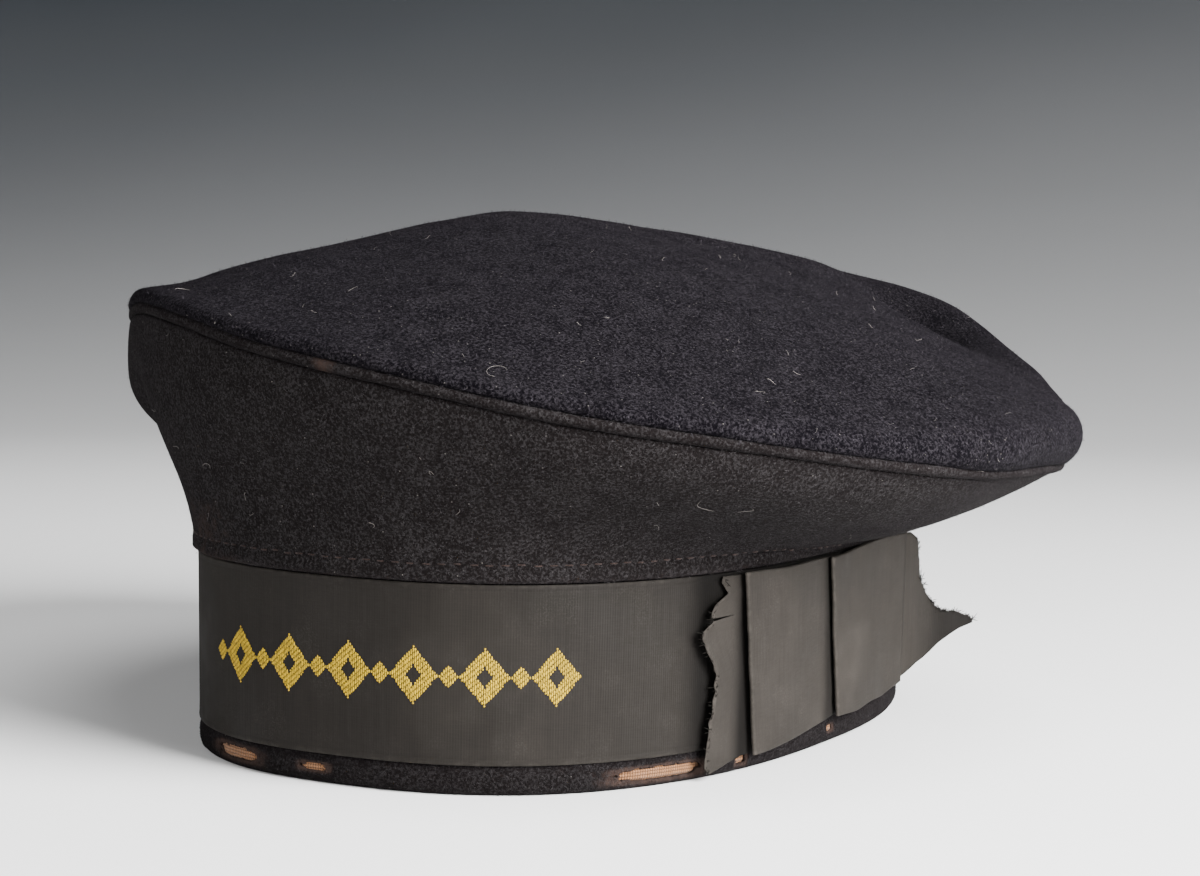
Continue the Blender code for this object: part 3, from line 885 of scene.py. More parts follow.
GROUP_MAKERS = {
    "wool_grain": wool_grain_group,
    "settled_dust": dust_group,
    "ribbed_weave": ribbed_weave_group,
    "plain_weave": plain_weave_group,
    "edge_wear": edge_wear_group,
}


def use_group(tree, name, **values):
    """Places a shared node group in a material, built once, with its own values."""
    made = tree.nodes.new("ShaderNodeGroup")
    made.node_tree = bpy.data.node_groups.get(name) or GROUP_MAKERS[name]()
    for label, value in values.items():
        feed(tree, made.inputs[label.replace("_", " ")], value)
    return made.outputs


def start_material(name, roughness, sheen=0.0, sheen_roughness=0.5, sheen_tint=(1, 1, 1), specular=0.3):
    made = bpy.data.materials.new(name)
    made.use_nodes = True
    tree = made.node_tree
    shader = tree.nodes["Principled BSDF"].inputs
    shader["Roughness"].default_value = roughness
    shader["Specular IOR Level"].default_value = specular
    shader["Sheen Weight"].default_value = sheen
    shader["Sheen Roughness"].default_value = sheen_roughness
    shader["Sheen Tint"].default_value = (*sheen_tint, 1.0)
    return made, tree, shader


def object_place(tree):
    return tree.nodes.new("ShaderNodeTexCoord").outputs["Object"]


def cloth_place(tree):
    made = tree.nodes.new("ShaderNodeUVMap")
    made.uv_map = "cloth"
    return made.outputs["UV"]


def painted(tree, name):
    made = tree.nodes.new("ShaderNodeAttribute")
    made.attribute_name = name
    return made.outputs["Fac"]


def add_bump(tree, shader, height, distance):
    made = tree.nodes.new("ShaderNodeBump")
    made.inputs["Strength"].default_value = 1.0
    made.inputs["Distance"].default_value = distance
    feed(tree, made.inputs["Height"], height)
    feed(tree, shader["Normal"], made.outputs["Normal"])


def arrange(tree):
    """Lays the nodes out from left to right in the order they feed each other."""
    depth = {n: 0 for n in tree.nodes}
    for _ in range(24):
        for link in tree.links:
            depth[link.from_node] = max(depth[link.from_node], depth[link.to_node] + 1)
    rows = {}
    for made in tree.nodes:
        row = rows.get(depth[made], 0)
        rows[depth[made]] = row + 1
        made.location = (-220 * depth[made], -190 * row)


def wool(name, dark, light, sizes, colours, sheen, flecks, dust):
    """Milled navy wool: tufted, with raised grey nap, flecks, dust and rubbed edges, and painted shade (on
    the hem a plain darkening) where its mesh marks it.
    """
    if name in bpy.data.materials:
        return bpy.data.materials[name]
    made, tree, shader = start_material(name, 0.92, sheen, 0.45, (0.80, 0.76, 0.84), 0.015)
    place = object_place(tree)
    grain = use_group(tree, "wool_grain", Vector=place, Tuft_Size=sizes.grain, Fleck_Share=flecks)
    settled = use_group(tree, "settled_dust", Vector=place, Patch_Size=0.010, Amount=dust)
    rubbed = use_group(tree, "edge_wear", Vector=place, Wear=painted(tree, "wear"), Break_Size=0.0025)
    colour = mix_colours(tree, grain["Shade"], dark, light)
    strands = times(tree, grain["Strands"], 0.7)
    colour = mix_colours(tree, strands, colour, scaled(light, STRAND_LIFT))
    colour = mix_colours(tree, rubbed["Mask"], colour, colours.rubbed)
    colour = mix_colours(tree, settled["Mask"], colour, colours.lint)
    colour = mix_colours(tree, grain["Flecks"], colour, colours.lint)
    # Painted shade, and on the hem a plain darkening: the wool darkened where the mesh marks it
    shade_and_darkening_colour = scaled(dark, 0.4)
    colour = mix_colours(tree, painted(tree, "painted_shade_and_darkening"), colour, shade_and_darkening_colour)
    feed(tree, shader["Base Color"], colour)
    add_bump(tree, shader, grain["Height"], 0.0009)
    arrange(tree)
    return made


def fibre(name, dark, light, sheen):
    """Loose fibres, each with its own shade."""
    if name in bpy.data.materials:
        return bpy.data.materials[name]
    made, tree, shader = start_material(name, 0.85, sheen, 0.5, (0.8, 0.78, 0.84), 0.05)
    shade = between(tree, painted(tree, "tint"), 0.0, 1.0)
    along = noise(tree, object_place(tree), 2500.0)
    colour = mix_colours(tree, shade, dark, light)
    colour = mix_colours(tree, between(tree, along, 0.35, 0.9), colour, light)
    feed(tree, shader["Base Color"], colour)
    arrange(tree)
    return made


def ribbon_cloth(name, dark, light, sizes, colours):
    """Faded black ribbon with fine ribs, dust and lighter worn edges, and painted shade where its mesh
    marks it.
    """
    if name in bpy.data.materials:
        return bpy.data.materials[name]
    made, tree, shader = start_material(name, 0.7, 0.0, 0.4, (0.9, 0.86, 0.8), 0.06)
    place = object_place(tree)
    weave = use_group(tree, "ribbed_weave", Map=cloth_place(tree), Rib_Spacing=sizes.rib)
    settled = use_group(tree, "settled_dust", Vector=place, Patch_Size=0.009, Amount=0.10)
    rubbed = use_group(tree, "edge_wear", Vector=place, Wear=painted(tree, "wear"), Break_Size=0.002)
    fade = noise(tree, place, 28.0, 4.0, 0.6)
    colour = mix_colours(tree, weave["Shade"], dark, light)
    faded = scaled(light, 1.35)
    colour = mix_colours(tree, between(tree, fade, 0.45, 0.85), colour, faded)
    colour = mix_colours(tree, rubbed["Mask"], colour, scaled(faded, 1.6))
    colour = mix_colours(tree, settled["Mask"], colour, colours.lint)
    # Painted shade: the ribbon darker under the bow, and the bow darker under its overlapping layers and
    # towards the tail's tip
    painted_shade_colour = scaled(dark, 0.22)
    colour = mix_colours(tree, painted(tree, "painted_shade_and_darkening"), colour, painted_shade_colour)
    feed(tree, shader["Base Color"], colour)
    feed(tree, shader["Roughness"], between(tree, plus(tree, fade, 0.55), 0.3, 1.4))
    add_bump(tree, shader, weave["Height"], 0.00004)
    arrange(tree)
    return made


def gold_thread(colours):
    made, tree, shader = start_material("gold_thread", 0.6, 0.05, 0.4, (1, 0.9, 0.6), 0.25)
    along = noise(tree, object_place(tree), 1600.0, 3.0)
    worn = between(tree, noise(tree, object_place(tree), 160.0, 3.0), 0.45, 0.75)
    dull = scaled(colours.gold, 0.45)
    colour = mix_colours(tree, between(tree, along, 0.3, 0.75), dull, colours.gold)
    colour = mix_colours(tree, times(tree, worn, 0.45), colour, dull)
    feed(tree, shader["Base Color"], colour)
    add_bump(tree, shader, along, 0.00005)
    arrange(tree)
    return made


def tan_canvas(sizes, colours):
    if "tan_canvas" in bpy.data.materials:
        return bpy.data.materials["tan_canvas"]
    made, tree, shader = start_material("tan_canvas", 0.85, 0.1, 0.5, (1, 0.9, 0.8), 0.2)
    weave = use_group(tree, "plain_weave", Map=cloth_place(tree), Thread_Spacing=sizes.canvas_thread)
    place = object_place(tree)
    stain = use_group(tree, "edge_wear", Vector=place, Wear=0.05, Break_Size=0.004)
    gap = scaled(colours.canvas, 0.30)
    pale = tuple(min(1.0, 1.15 * c + 0.04) for c in colours.canvas)
    colour = mix_colours(tree, noise(tree, place, 700.0), colours.canvas, pale)
    colour = mix_colours(tree, weave["Gap"], colour, gap)
    colour = mix_colours(tree, times(tree, stain["Mask"], 0.6), colour, gap)
    feed(tree, shader["Base Color"], colour)
    add_bump(tree, shader, weave["Height"], 0.00022)
    arrange(tree)
    return made


def side_wool(sizes, colours):
    return wool("milled_side_wool", colours.side_wool, colours.side_nap, sizes, colours, 0.005, 0.12, 0.06)


def top_wool(sizes, colours):
    return wool("milled_top_wool", colours.top_wool, colours.top_nap, sizes, colours, 0.005, 0.24, 0.03)


def ring(count):
    """Azimuths round the cap, from the back round to the back again."""
    return 90 + np.arange(count) * 360 / count


def put(made, slot, *nodes):
    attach(made, "root")
    if nodes:
        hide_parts(*nodes)


def soften(points, normals, depth, seed, sizes=(0.026, 0.009)):
    """Pushes points along their normals by two sizes of soft random swell."""
    swell = value_noise(points, sizes[0], seed) + 0.38 * value_noise(points, sizes[1], seed + 1)
    return points + normals * (depth * swell)[..., None]


def top_grid(sizes):
    azimuths = ring(400)
    roll_shares = (0, 0.02, 0.05, 0.09, 0.14, 0.2, 0.27, 0.35, 0.44, 0.54, 0.64, 0.76, 0.88, 1)
    dome_shares = np.linspace(0, 1, 69)[1:]
    points = top_middle(azimuths, roll_shares, dome_shares, sizes)
    normals = grid_normals(points, True, True)
    points = soften(points, normals, 0.00045, 11)
    points[:, -1] = points[:, -1].mean(0)
    return azimuths, points, grid_normals(points, True, True)


def side_grid(sizes):
    azimuths = ring(440)
    shares = np.concatenate((np.linspace(0, 0.955, 38), (0.967, 0.978, 0.987, 0.994, 1.0)))
    points = side_middle(azimuths, 9, shares, sizes)
    normals = grid_normals(points, True)
    points = soften(points, normals, 0.00040, 21)
    arc = np.concatenate((band_arc(azimuths), [0]))[: len(azimuths)]
    pinch = bell(points[..., 2], STITCH_HEIGHT, 0.0011)
    pucker = 0.75 + 0.25 * np.cos(arc * 2 * math.pi / (1.6 * sizes.stitch))[:, None]
    points = points - normals * (0.00042 * pinch * pucker)[..., None]
    return azimuths, points, grid_normals(points, True)


class CapOperator:
    bl_options = {"REGISTER", "UNDO"}

    def execute(self, context):
        scene = context.scene
        self.make(scene.cap_sizes, scene.cap_colours)
        return {"FINISHED"}


class CAP_OT_crown_top(CapOperator, bpy.types.Operator):
    """Make the soft wool top, from the welt over its rolled edge to the peak"""

    bl_idname = "cap.crown_top"
    bl_label = "Crown top"

    def make(self, sizes, colours):
        azimuths, middle, normals = top_grid(sizes)
        half = sizes.wool / 2 * edge_rounding(middle, 0.0008, True, True)
        seam = bell(np.arange(middle.shape[1]), 0, 2.0)
        made = cloth_shell(
            "crown_top_wool", middle, normals, (half, half), top_wool(sizes, colours), True,
            wear=0.25 * seam,
            painted_shade_and_darkening=self.valley_and_roll_shade(azimuths, middle.shape[1]),
        )
        merge_pole(made, made.data.vertices[middle.shape[1] - 1].co.copy())
        put(made, "top_wool", "crown_top")

    def valley_and_roll_shade(self, azimuths, rows):
        """Painted shade: darker wool in the far valley and where it rolls in to the welt."""
        way = np.arange(rows)[None, :]
        valley = 0.62 * bell(turn_between(azimuths, 46), 0, 15)[:, None] * bell(way, 20, 8.0)
        return np.clip(valley + 0.65 * bell(way, 0, 4.5), 0, 1)


class CAP_OT_crown_side(CapOperator, bpy.types.Operator):
    """Make the side panel, from the seam over the ribbon out to the welt"""

    bl_idname = "cap.crown_side"
    bl_label = "Crown side"

    def make(self, sizes, colours):
        azimuths, middle, normals = side_grid(sizes)
        half = sizes.wool / 2 * edge_rounding(middle, 0.0007, True)
        rows = middle.shape[1]
        low = bell(middle[..., 2], SEAM_HEIGHT, 0.0015)
        corner = bell(turn_between(azimuths, 247), 0, 9)[:, None] * bell(middle[..., 2], 0.052, 0.008)
        made = cloth_shell(
            "crown_side_wool", middle, normals, (half, half), side_wool(sizes, colours), True,
            wear=0.20 * low + 0.35 * corner,
            # Painted shade: the side panel darker just under the welt
            painted_shade_and_darkening=0.75 * bell(np.arange(rows) - rows, 0, 2.6),
        )
        put(made, "side_wool", "crown_side")


def piping_grid(sizes):
    azimuths = ring(620)
    sides = 14
    radius = smooth_loop("radius", azimuths) * RIM_RADIUS
    height = smooth_loop("height", azimuths) * CROWN_HEIGHT
    centre = in_plane(azimuths, radius, height) + MIDDLE
    ahead = np.roll(centre, -1, 0) - np.roll(centre, 1, 0)
    ahead /= np.linalg.norm(ahead, axis=1, keepdims=True)
    out = np.cross(ahead, (0, 0, 1.0))
    out /= np.linalg.norm(out, axis=1, keepdims=True)
    up = np.cross(out, ahead)
    turns = np.arange(sides) * 2 * math.pi / sides
    directions = out[:, None] * np.cos(turns)[None, :, None] + up[:, None] * np.sin(turns)[None, :, None]
    points = centre[:, None] + directions * sizes.piping
    swell = 0.5 * value_noise(points, 0.004, 31) + 0.5 * value_noise(points, 0.0015, 32)
    return azimuths, points + directions * (0.00014 * swell)[..., None], directions


class CAP_OT_edge_piping(CapOperator, bpy.types.Operator):
    """Make the raised welt round the rim"""

    bl_idname = "cap.edge_piping"
    bl_label = "Edge piping"

    def make(self, sizes, colours):
        azimuths, points, directions = piping_grid(sizes)
        columns, sides = points.shape[:2]
        i, j = np.meshgrid(np.arange(columns), np.arange(sides), indexing="ij")
        i2, j2 = (i + 1) % columns, (j + 1) % sides
        quads = np.stack([i * sides + j, i2 * sides + j, i2 * sides + j2, i * sides + j2], -1)
        mesh = bpy.data.meshes.new("welt_piping")
        mesh.from_pydata(points.reshape(-1, 3).tolist(), [], quads.reshape(-1, 4).tolist())
        crest = np.clip(directions[..., 2] * 0.3 + 0.5, 0, 1) * 0.15
        spot = 0.5 * bell(turn_between(azimuths, 273.2), 0, 1.3)[:, None]
        add_attribute(mesh, "wear", crest + spot)
        # Painted shade: the welt darker on its underside
        add_attribute(mesh, "painted_shade_and_darkening", np.clip(-directions[..., 2] * 0.5, 0, 0.5))
        made = new_object("welt_piping", mesh, side_wool(sizes, colours))
        put(made, "side_wool", "edge_piping")


def worn_share(azimuth, height):
    """How far a place on the hem is from the nearest worn hole: under 1 inside it."""
    least = np.full(np.broadcast(azimuth, height).shape, 9.0)
    for place, length, tall, level in WORN_PLACES:
        centre = float(band_radius(place))
        along = np.radians(turn_between(azimuth, place)) * centre
        across = height - level * RIBBON_LIFT
        x = along / (length * WORN_HEIGHT / 2)
        y = across / (tall * WORN_HEIGHT / 2)
        total = np.abs(x) ** HOLE_SQUARENESS + np.abs(y) ** HOLE_SQUARENESS
        least = np.minimum(least, total ** (1 / HOLE_SQUARENESS))
    return least


def hem_azimuths():
    """Azimuths round the band, closer together at the worn places."""
    fine = [ring(360)]
    for place, length, _, _ in WORN_PLACES:
        reach = math.degrees(length * WORN_HEIGHT / 2 / float(band_radius(place))) + 1.0
        fine.append((place + np.arange(-reach, reach, 0.17) - 90) % 360 + 90)
    merged = np.sort(np.concatenate(fine))
    return merged[np.concatenate(([True], np.diff(merged) > 0.05))]


def smooth_path(corners, counts):
    """Points along a path through corners, rounded between them, with a count for each leg."""
    corners = np.array(corners, float)
    slopes = np.gradient(corners, axis=0)
    legs = []
    for k, count in enumerate(counts):
        size = np.linalg.norm(corners[k + 1] - corners[k])
        before = slopes[k] / max(np.linalg.norm(slopes[k]), 1e-12) * size
        after = slopes[k + 1] / max(np.linalg.norm(slopes[k + 1]), 1e-12) * size
        w = (np.arange(count) / count)[:, None]
        legs.append(hermite(w, corners[k], corners[k + 1], before, after))
    return np.concatenate(legs + [corners[-1:]])


HEM_PATH = (
    (-0.0051, 0.0090), (-0.0051, 0.0030), (-0.00495, 0.0012), (-0.0043, 0.0006),
    (-0.0020, 0.0006), (-0.00105, 0.0011), (-0.0006, 0.0024), (-0.0006, 0.0042),
    (-0.0010, 0.0057), (-0.00165, 0.0070), (-0.0018, 0.0095), (-0.0018, 0.0500),
)
HEM_COUNTS = (4, 3, 3, 4, 5, 6, 8, 6, 4, 3, 6)


def hem_grid(sizes):
    azimuths = hem_azimuths()
    path = smooth_path(HEM_PATH, HEM_COUNTS)
    middle = band_place(azimuths[:, None], path[None, :, 0], path[None, :, 1])
    normals = grid_normals(middle, True)
    thick = sizes.hem_wool + (BAND_WOOL - sizes.hem_wool) * ease((path[:, 1] - 0.0055) / 0.003)
    thick = np.where(path[:, 0] < -0.003, sizes.hem_wool, thick)
    thick = np.broadcast_to(thick, middle.shape[:2])
    outside = (path[:, 0] > -0.0019) & (path[:, 1] < 0.0066)
    lumps = value_noise(middle, 0.006, 41) + 0.5 * value_noise(middle, 0.002, 42)
    middle = middle + normals * (0.00016 * lumps * outside * (middle[..., 2] > 0.001))[..., None]
    return azimuths, middle, normals, thick, outside


class CAP_OT_head_band(CapOperator, bpy.types.Operator):
    """Make the wool of the head band with its rolled hem and worn holes"""

    bl_idname = "cap.head_band"
    bl_label = "Head band wool"

    def make(self, sizes, colours):
        azimuths, middle, normals, thick, outside = hem_grid(sizes)
        far = worn_share(azimuths[:, None], middle[..., 2])
        thin = outside * (1 - ease((far - 0.9) / 0.7))
        half = thick / 2 * edge_rounding(middle, 0.0006, True)[..., 0]
        halves = (half - 0.0005 * thin)[..., None], half[..., None]
        ragged = far + 0.16 * value_noise(middle, 0.0011, 43) + 0.10 * value_noise(middle, 0.0004, 44)
        holes = (ragged < 0.92) & outside
        cells = holes & np.roll(holes, -1, 0)
        cells = cells[:, :-1] & cells[:, 1:]
        wear = outside * (0.12 + 0.45 * (1 - ease((far - 1.0) / 0.6)))
        made = cloth_shell(
            "head_band_wool", middle, normals, halves, side_wool(sizes, colours), True,
            keep=~cells,
            wear=wear,
            # The hem wool darkened away from the worn places
            painted_shade_and_darkening=0.35 * (far > 1.2),
        )
        put(made, "side_wool", "band_cloth")


CANVAS_PATH = (
    (-0.0021, 0.0046), (-0.0021, 0.0030), (-0.00235, 0.0023), (-0.00285, 0.00212),
    (-0.00335, 0.0023), (-0.0036, 0.0030), (-0.0036, 0.0500),
)
CANVAS_COUNTS = (6, 3, 2, 2, 3, 14)


class CAP_OT_stiffener(CapOperator, bpy.types.Operator):
    """Make the tan canvas inside the band, doubled outward along its lower edge"""

    bl_idname = "cap.stiffener"
    bl_label = "Canvas stiffener"

    def make(self, sizes, colours):
        azimuths = hem_azimuths()
        path = smooth_path(CANVAS_PATH, CANVAS_COUNTS)
        middle = band_place(azimuths[:, None], path[None, :, 0], path[None, :, 1])
        normals = grid_normals(middle, True)
        half = CANVAS_HALF * edge_rounding(middle, 0.0005, True)
        first = path[:, 0] > -0.0027
        far = worn_share(azimuths[:, None], middle[..., 2])
        push = first * ease((1.25 - far) / 0.7)
        shift = band_place(azimuths[:, None], path[None, :, 0] + 0.0008, path[None, :, 1]) - middle
        middle = middle + shift * push[..., None]
        made = cloth_shell(
            "canvas_stiffener", middle, normals, (half, half), tan_canvas(sizes, colours), True,
            cloth_map=metre_map(middle, True),
        )
        put(made, "canvas", "band_stiffener")


def ribbon_swell(azimuth, height):
    """How far the ribbon stands off the band: slack waves and slightly lifted edges."""
    share = (height - RIBBON_LIFT) / RIBBON_WIDTH
    point = band_place(azimuth, 0.0, height)
    slack = 0.00013 * (1 + value_noise(point * (1, 1, 0.45), 0.019, 51))
    lift = 0.00012 * (bell(share, 0, 0.05) + bell(share, 1, 0.05))
    groove = 0.00007 * (bell(share, 0.034, 0.007) + bell(share, 0.966, 0.007))
    return slack + lift - groove


def close_edges(count):
    return 0.5 - 0.5 * np.cos(np.linspace(0, math.pi, count))


class CAP_OT_ribbon(CapOperator, bpy.types.Operator):
    """Make the faded black ribbon round the band"""

    bl_idname = "cap.ribbon"
    bl_label = "Ribbon"

    def make(self, sizes, colours):
        azimuths = ring(420)
        shares = np.sort(np.concatenate((close_edges(30), (0.028, 0.034, 0.040, 0.96, 0.966, 0.972))))
        heights = RIBBON_LIFT + RIBBON_WIDTH * shares
        out = -RIBBON_HALF + ribbon_swell(azimuths[:, None], heights[None, :])
        middle = band_place(azimuths[:, None], out, heights[None, :])
        normals = grid_normals(middle, True)
        half = RIBBON_HALF * edge_rounding(middle, RIBBON_HALF, True)
        share = (heights - RIBBON_LIFT) / RIBBON_WIDTH
        edge = 0.40 * (bell(share, 0, 0.025) + bell(share, 1, 0.025))
        turn = turn_between(azimuths, 318.5)
        # Painted shadow: the ribbon darker under the bow, fading out on each side of it
        beside = 0.92 * bell(np.minimum(turn, 0), 0, 3.6) * bell(np.maximum(turn - 70, 0), 0, 3.0)
        silk = ribbon_cloth("ribbon_cloth", colours.ribbon, colours.ribbon_light, sizes, colours)
        made = cloth_shell(
            "hat_ribbon", middle, normals, (half, half), silk, True,
            cloth_map=metre_map(middle, True),
            wear=edge,
            painted_shade_and_darkening=beside[:, None],
        )
        put(made, "ribbon", "ribbon")


class CAP_OT_ribbon_motif(CapOperator, bpy.types.Operator):
    """Weave a plain row of gold lozenges into the front of the ribbon"""

    bl_idname = "cap.ribbon_motif"
    bl_label = "Gold lozenges"

    def make(self, sizes, colours):
        azimuths = np.linspace(240, 304, 1200)
        arcs = band_arc(azimuths)
        arcs = arcs - np.interp(270, azimuths, arcs)
        rng = np.random.default_rng(61)
        floats = []
        for number in range(-5, 7):
            big = number % 2 == 0
            centre = LOZENGE_SHIFT + number * LOZENGE_STEP / 2
            wide, tall, hollow = LARGE_LOZENGE if big else SMALL_LOZENGE
            columns = int(2 * wide / sizes.float_width)
            for k in range(-columns // 2, columns // 2 + 1):
                x = k * sizes.float_width
                reach = tall * (1 - abs(x) / wide)
                hole = tall * hollow * (1 - abs(x) / (wide * hollow)) if hollow else 0.0
                if reach <= 0:
                    continue
                spans = [(-reach, reach)]
                if hole > 0:
                    spans = [(-reach, -hole), (hole, reach)]
                for low, high in spans:
                    floats += self.column(centre + x, low, high, (k % 3) / 3, sizes, rng)
        self.build(floats, azimuths, arcs, sizes, colours)

    def column(self, x, low, high, phase, sizes, rng):
        """Gold floats in one column of the weave, each bound down at a stepped place."""
        pitch = sizes.float_length
        first = math.floor(low / pitch - phase)
        found = []
        for n in range(first, first + int((high - low) / pitch) + 3):
            start = max(low, (n + phase) * pitch)
            end = min(high, (n + 1 + phase) * pitch)
            if end - start > 0.28 * pitch:
                found.append((x + rng.normal() * 0.00002, start + 0.00003, end - 0.00003))
        return found

    def build(self, floats, azimuths, arcs, sizes, colours):
        rows, sides = 5, 6
        shape_along = np.linspace(0, 1, rows)
        swell = np.sin(np.clip(shape_along, 0.06, 0.94) * math.pi) ** 0.5
        turns = np.linspace(0, math.pi, sides)
        level = RIBBON_LIFT + 0.49 * RIBBON_WIDTH
        points, faces = [], []
        for x, start, end in floats:
            height = level + start + (end - start) * shape_along
            across = x + 0.5 * sizes.float_width * swell[:, None] * np.cos(turns)[None]
            azimuth = np.interp(across, arcs, azimuths)
            heights = np.broadcast_to(height[:, None], across.shape)
            out = 0.00004 + ribbon_swell(azimuth, heights) + 0.00017 * swell[:, None] * np.sin(turns)[None]
            base = len(points) * rows * sides
            points.append(band_place(azimuth, out - 0.00006, heights).reshape(-1, 3))
            for r in range(rows - 1):
                for s in range(sides - 1):
                    a = base + r * sides + s
                    faces.append((a, a + sides, a + sides + 1, a + 1))
                a = base + r * sides
                faces.append((a, a + sides - 1, a + 2 * sides - 1, a + sides))
            faces.append(tuple(base + s for s in range(sides)))
            faces.append(tuple(base + (rows - 1) * sides + s for s in range(sides))[::-1])
        mesh = bpy.data.meshes.new("gold_lozenges")
        mesh.from_pydata(np.concatenate(points).tolist(), [], faces)
        made = new_object("gold_lozenges", mesh, gold_thread(colours))
        put(made, "ribbon")


def bow_cloth(sizes, colours):
    # Painted light: the bow's cloth is the ribbon's colours made lighter for the light that falls on it
    dark = scaled(colours.ribbon, BOW_PAINTED_LIGHT)
    light = scaled(colours.ribbon_light, BOW_PAINTED_LIGHT)
    return ribbon_cloth("bow_cloth", dark, light, sizes, colours)


def bow_place(azimuth, share, lift):
    return band_place(azimuth, lift, RIBBON_LIFT + np.asarray(share) * RIBBON_WIDTH)


def folded_loop(name, rows, node, slant, seed, tuck, depth, sizes, colours):
    """A pleat of the bow: the ribbon runs under, turns back at the fold and lies on top."""
    first, last = rows[0][0], rows[-1][0]
    under = np.linspace(last, first + 0.35, 16)
    bend = first + 0.35 * (1 - np.sin(np.linspace(0, math.pi, 9)[1:-1]))
    over = np.linspace(first + 0.35, last, 60)
    azimuth = np.concatenate((under, bend, over))
    turn = np.concatenate(
        (np.full(16, -1.0), -np.cos(np.linspace(0, math.pi, 9)[1:-1]), np.full(60, 1.0))
    )
    shares = close_edges(40)
    low = smooth_rows(rows, 1, azimuth)[:, None]
    high = smooth_rows(rows, 2, azimuth)[:, None]
    share = low + (high - low) * shares[None, :]
    lift = smooth_rows(rows, 3, azimuth)[:, None] * BOW_LIFT + 0.00027 * turn[:, None]
    lean = slant * (1 - share) * ((last - azimuth) / (last - first))[:, None]
    azimuth = azimuth[:, None] + lean
    point = bow_place(azimuth, share, lift)
    wave = 0.00016 * value_noise(point * (1, 1, 0.5), 0.011, seed)
    crease = 0.00010 * value_noise(point * (1, 1, 2.2), 0.006, seed + 1)
    middle = bow_place(azimuth, share, lift + wave + crease)
    normals = grid_normals(middle, False)
    half = 0.00021 * edge_rounding(middle, 0.0003, False)
    fold = bell(azimuth - lean, first, 0.6)
    edge = 0.25 * (bell(shares, 0, 0.03) + bell(shares, 1, 0.03))[None, :]
    made = cloth_shell(
        name, middle, normals, (half, half), bow_cloth(sizes, colours), False,
        cloth_map=metre_map(middle, False),
        wear=0.40 * fold + edge,
        # Painted shade: the pleat darker towards and past the tuck, where the next layer of the bow covers
        # it
        painted_shade_and_darkening=depth * bell(np.minimum(azimuth - tuck - 2 * (1 - share), 0), 0, 2.4),
    )
    put(made, "ribbon", node)


def torn_place(t, v):
    """Point of the torn strip: t from its torn edge to the tuck, v down the edge."""
    rows = [(i, *row) for i, row in enumerate(TORN_EDGE)]
    x = v * (len(rows) - 1)
    share, lift, drop = (smooth_rows(rows, k, x) for k in (1, 3, 4))
    azimuth = np.interp(x, table_column(rows, 0), table_column(rows, 2))
    turn = azimuth + (TORN_TUCK - azimuth) * t
    way = np.clip(1.6 * t, 0, 1)
    out = lift * BOW_LIFT + (BOW_NEAR - lift * BOW_LIFT) * way
    return turn, share + drop * t, out


def tail_place(reach, share):
    """Point of the tail: reach along it as a share of TAIL_REACH, share from lower to upper."""
    reach, share = np.broadcast_arrays(reach, share)
    flare = smooth_rows(TAIL, 1, reach) * TAIL_FLARE
    low, high = (np.interp(reach, table_column(TAIL, 0), table_column(TAIL, k)) for k in (2, 3))
    height = RIBBON_LIFT + (low + (high - low) * share) * RIBBON_WIDTH
    plan, along = band_plan(TAIL_ROOT)
    out = np.array([along[1], -along[0]])
    turn = TAIL_ROOT + np.degrees(reach * TAIL_REACH / np.linalg.norm(plan))
    flat = band_place(turn, BOW_NEAR + flare, height)
    way = BOW_NEAR + flare + BAND_FLARE_SLOPE * height
    x = plan[0] + along[0] * reach * TAIL_REACH + out[0] * way + MIDDLE[0]
    y = plan[1] + along[1] * reach * TAIL_REACH + out[1] * way + MIDDLE[1]
    free = np.stack([x, y, height], -1)
    return np.where((reach <= 0)[..., None], flat, free)


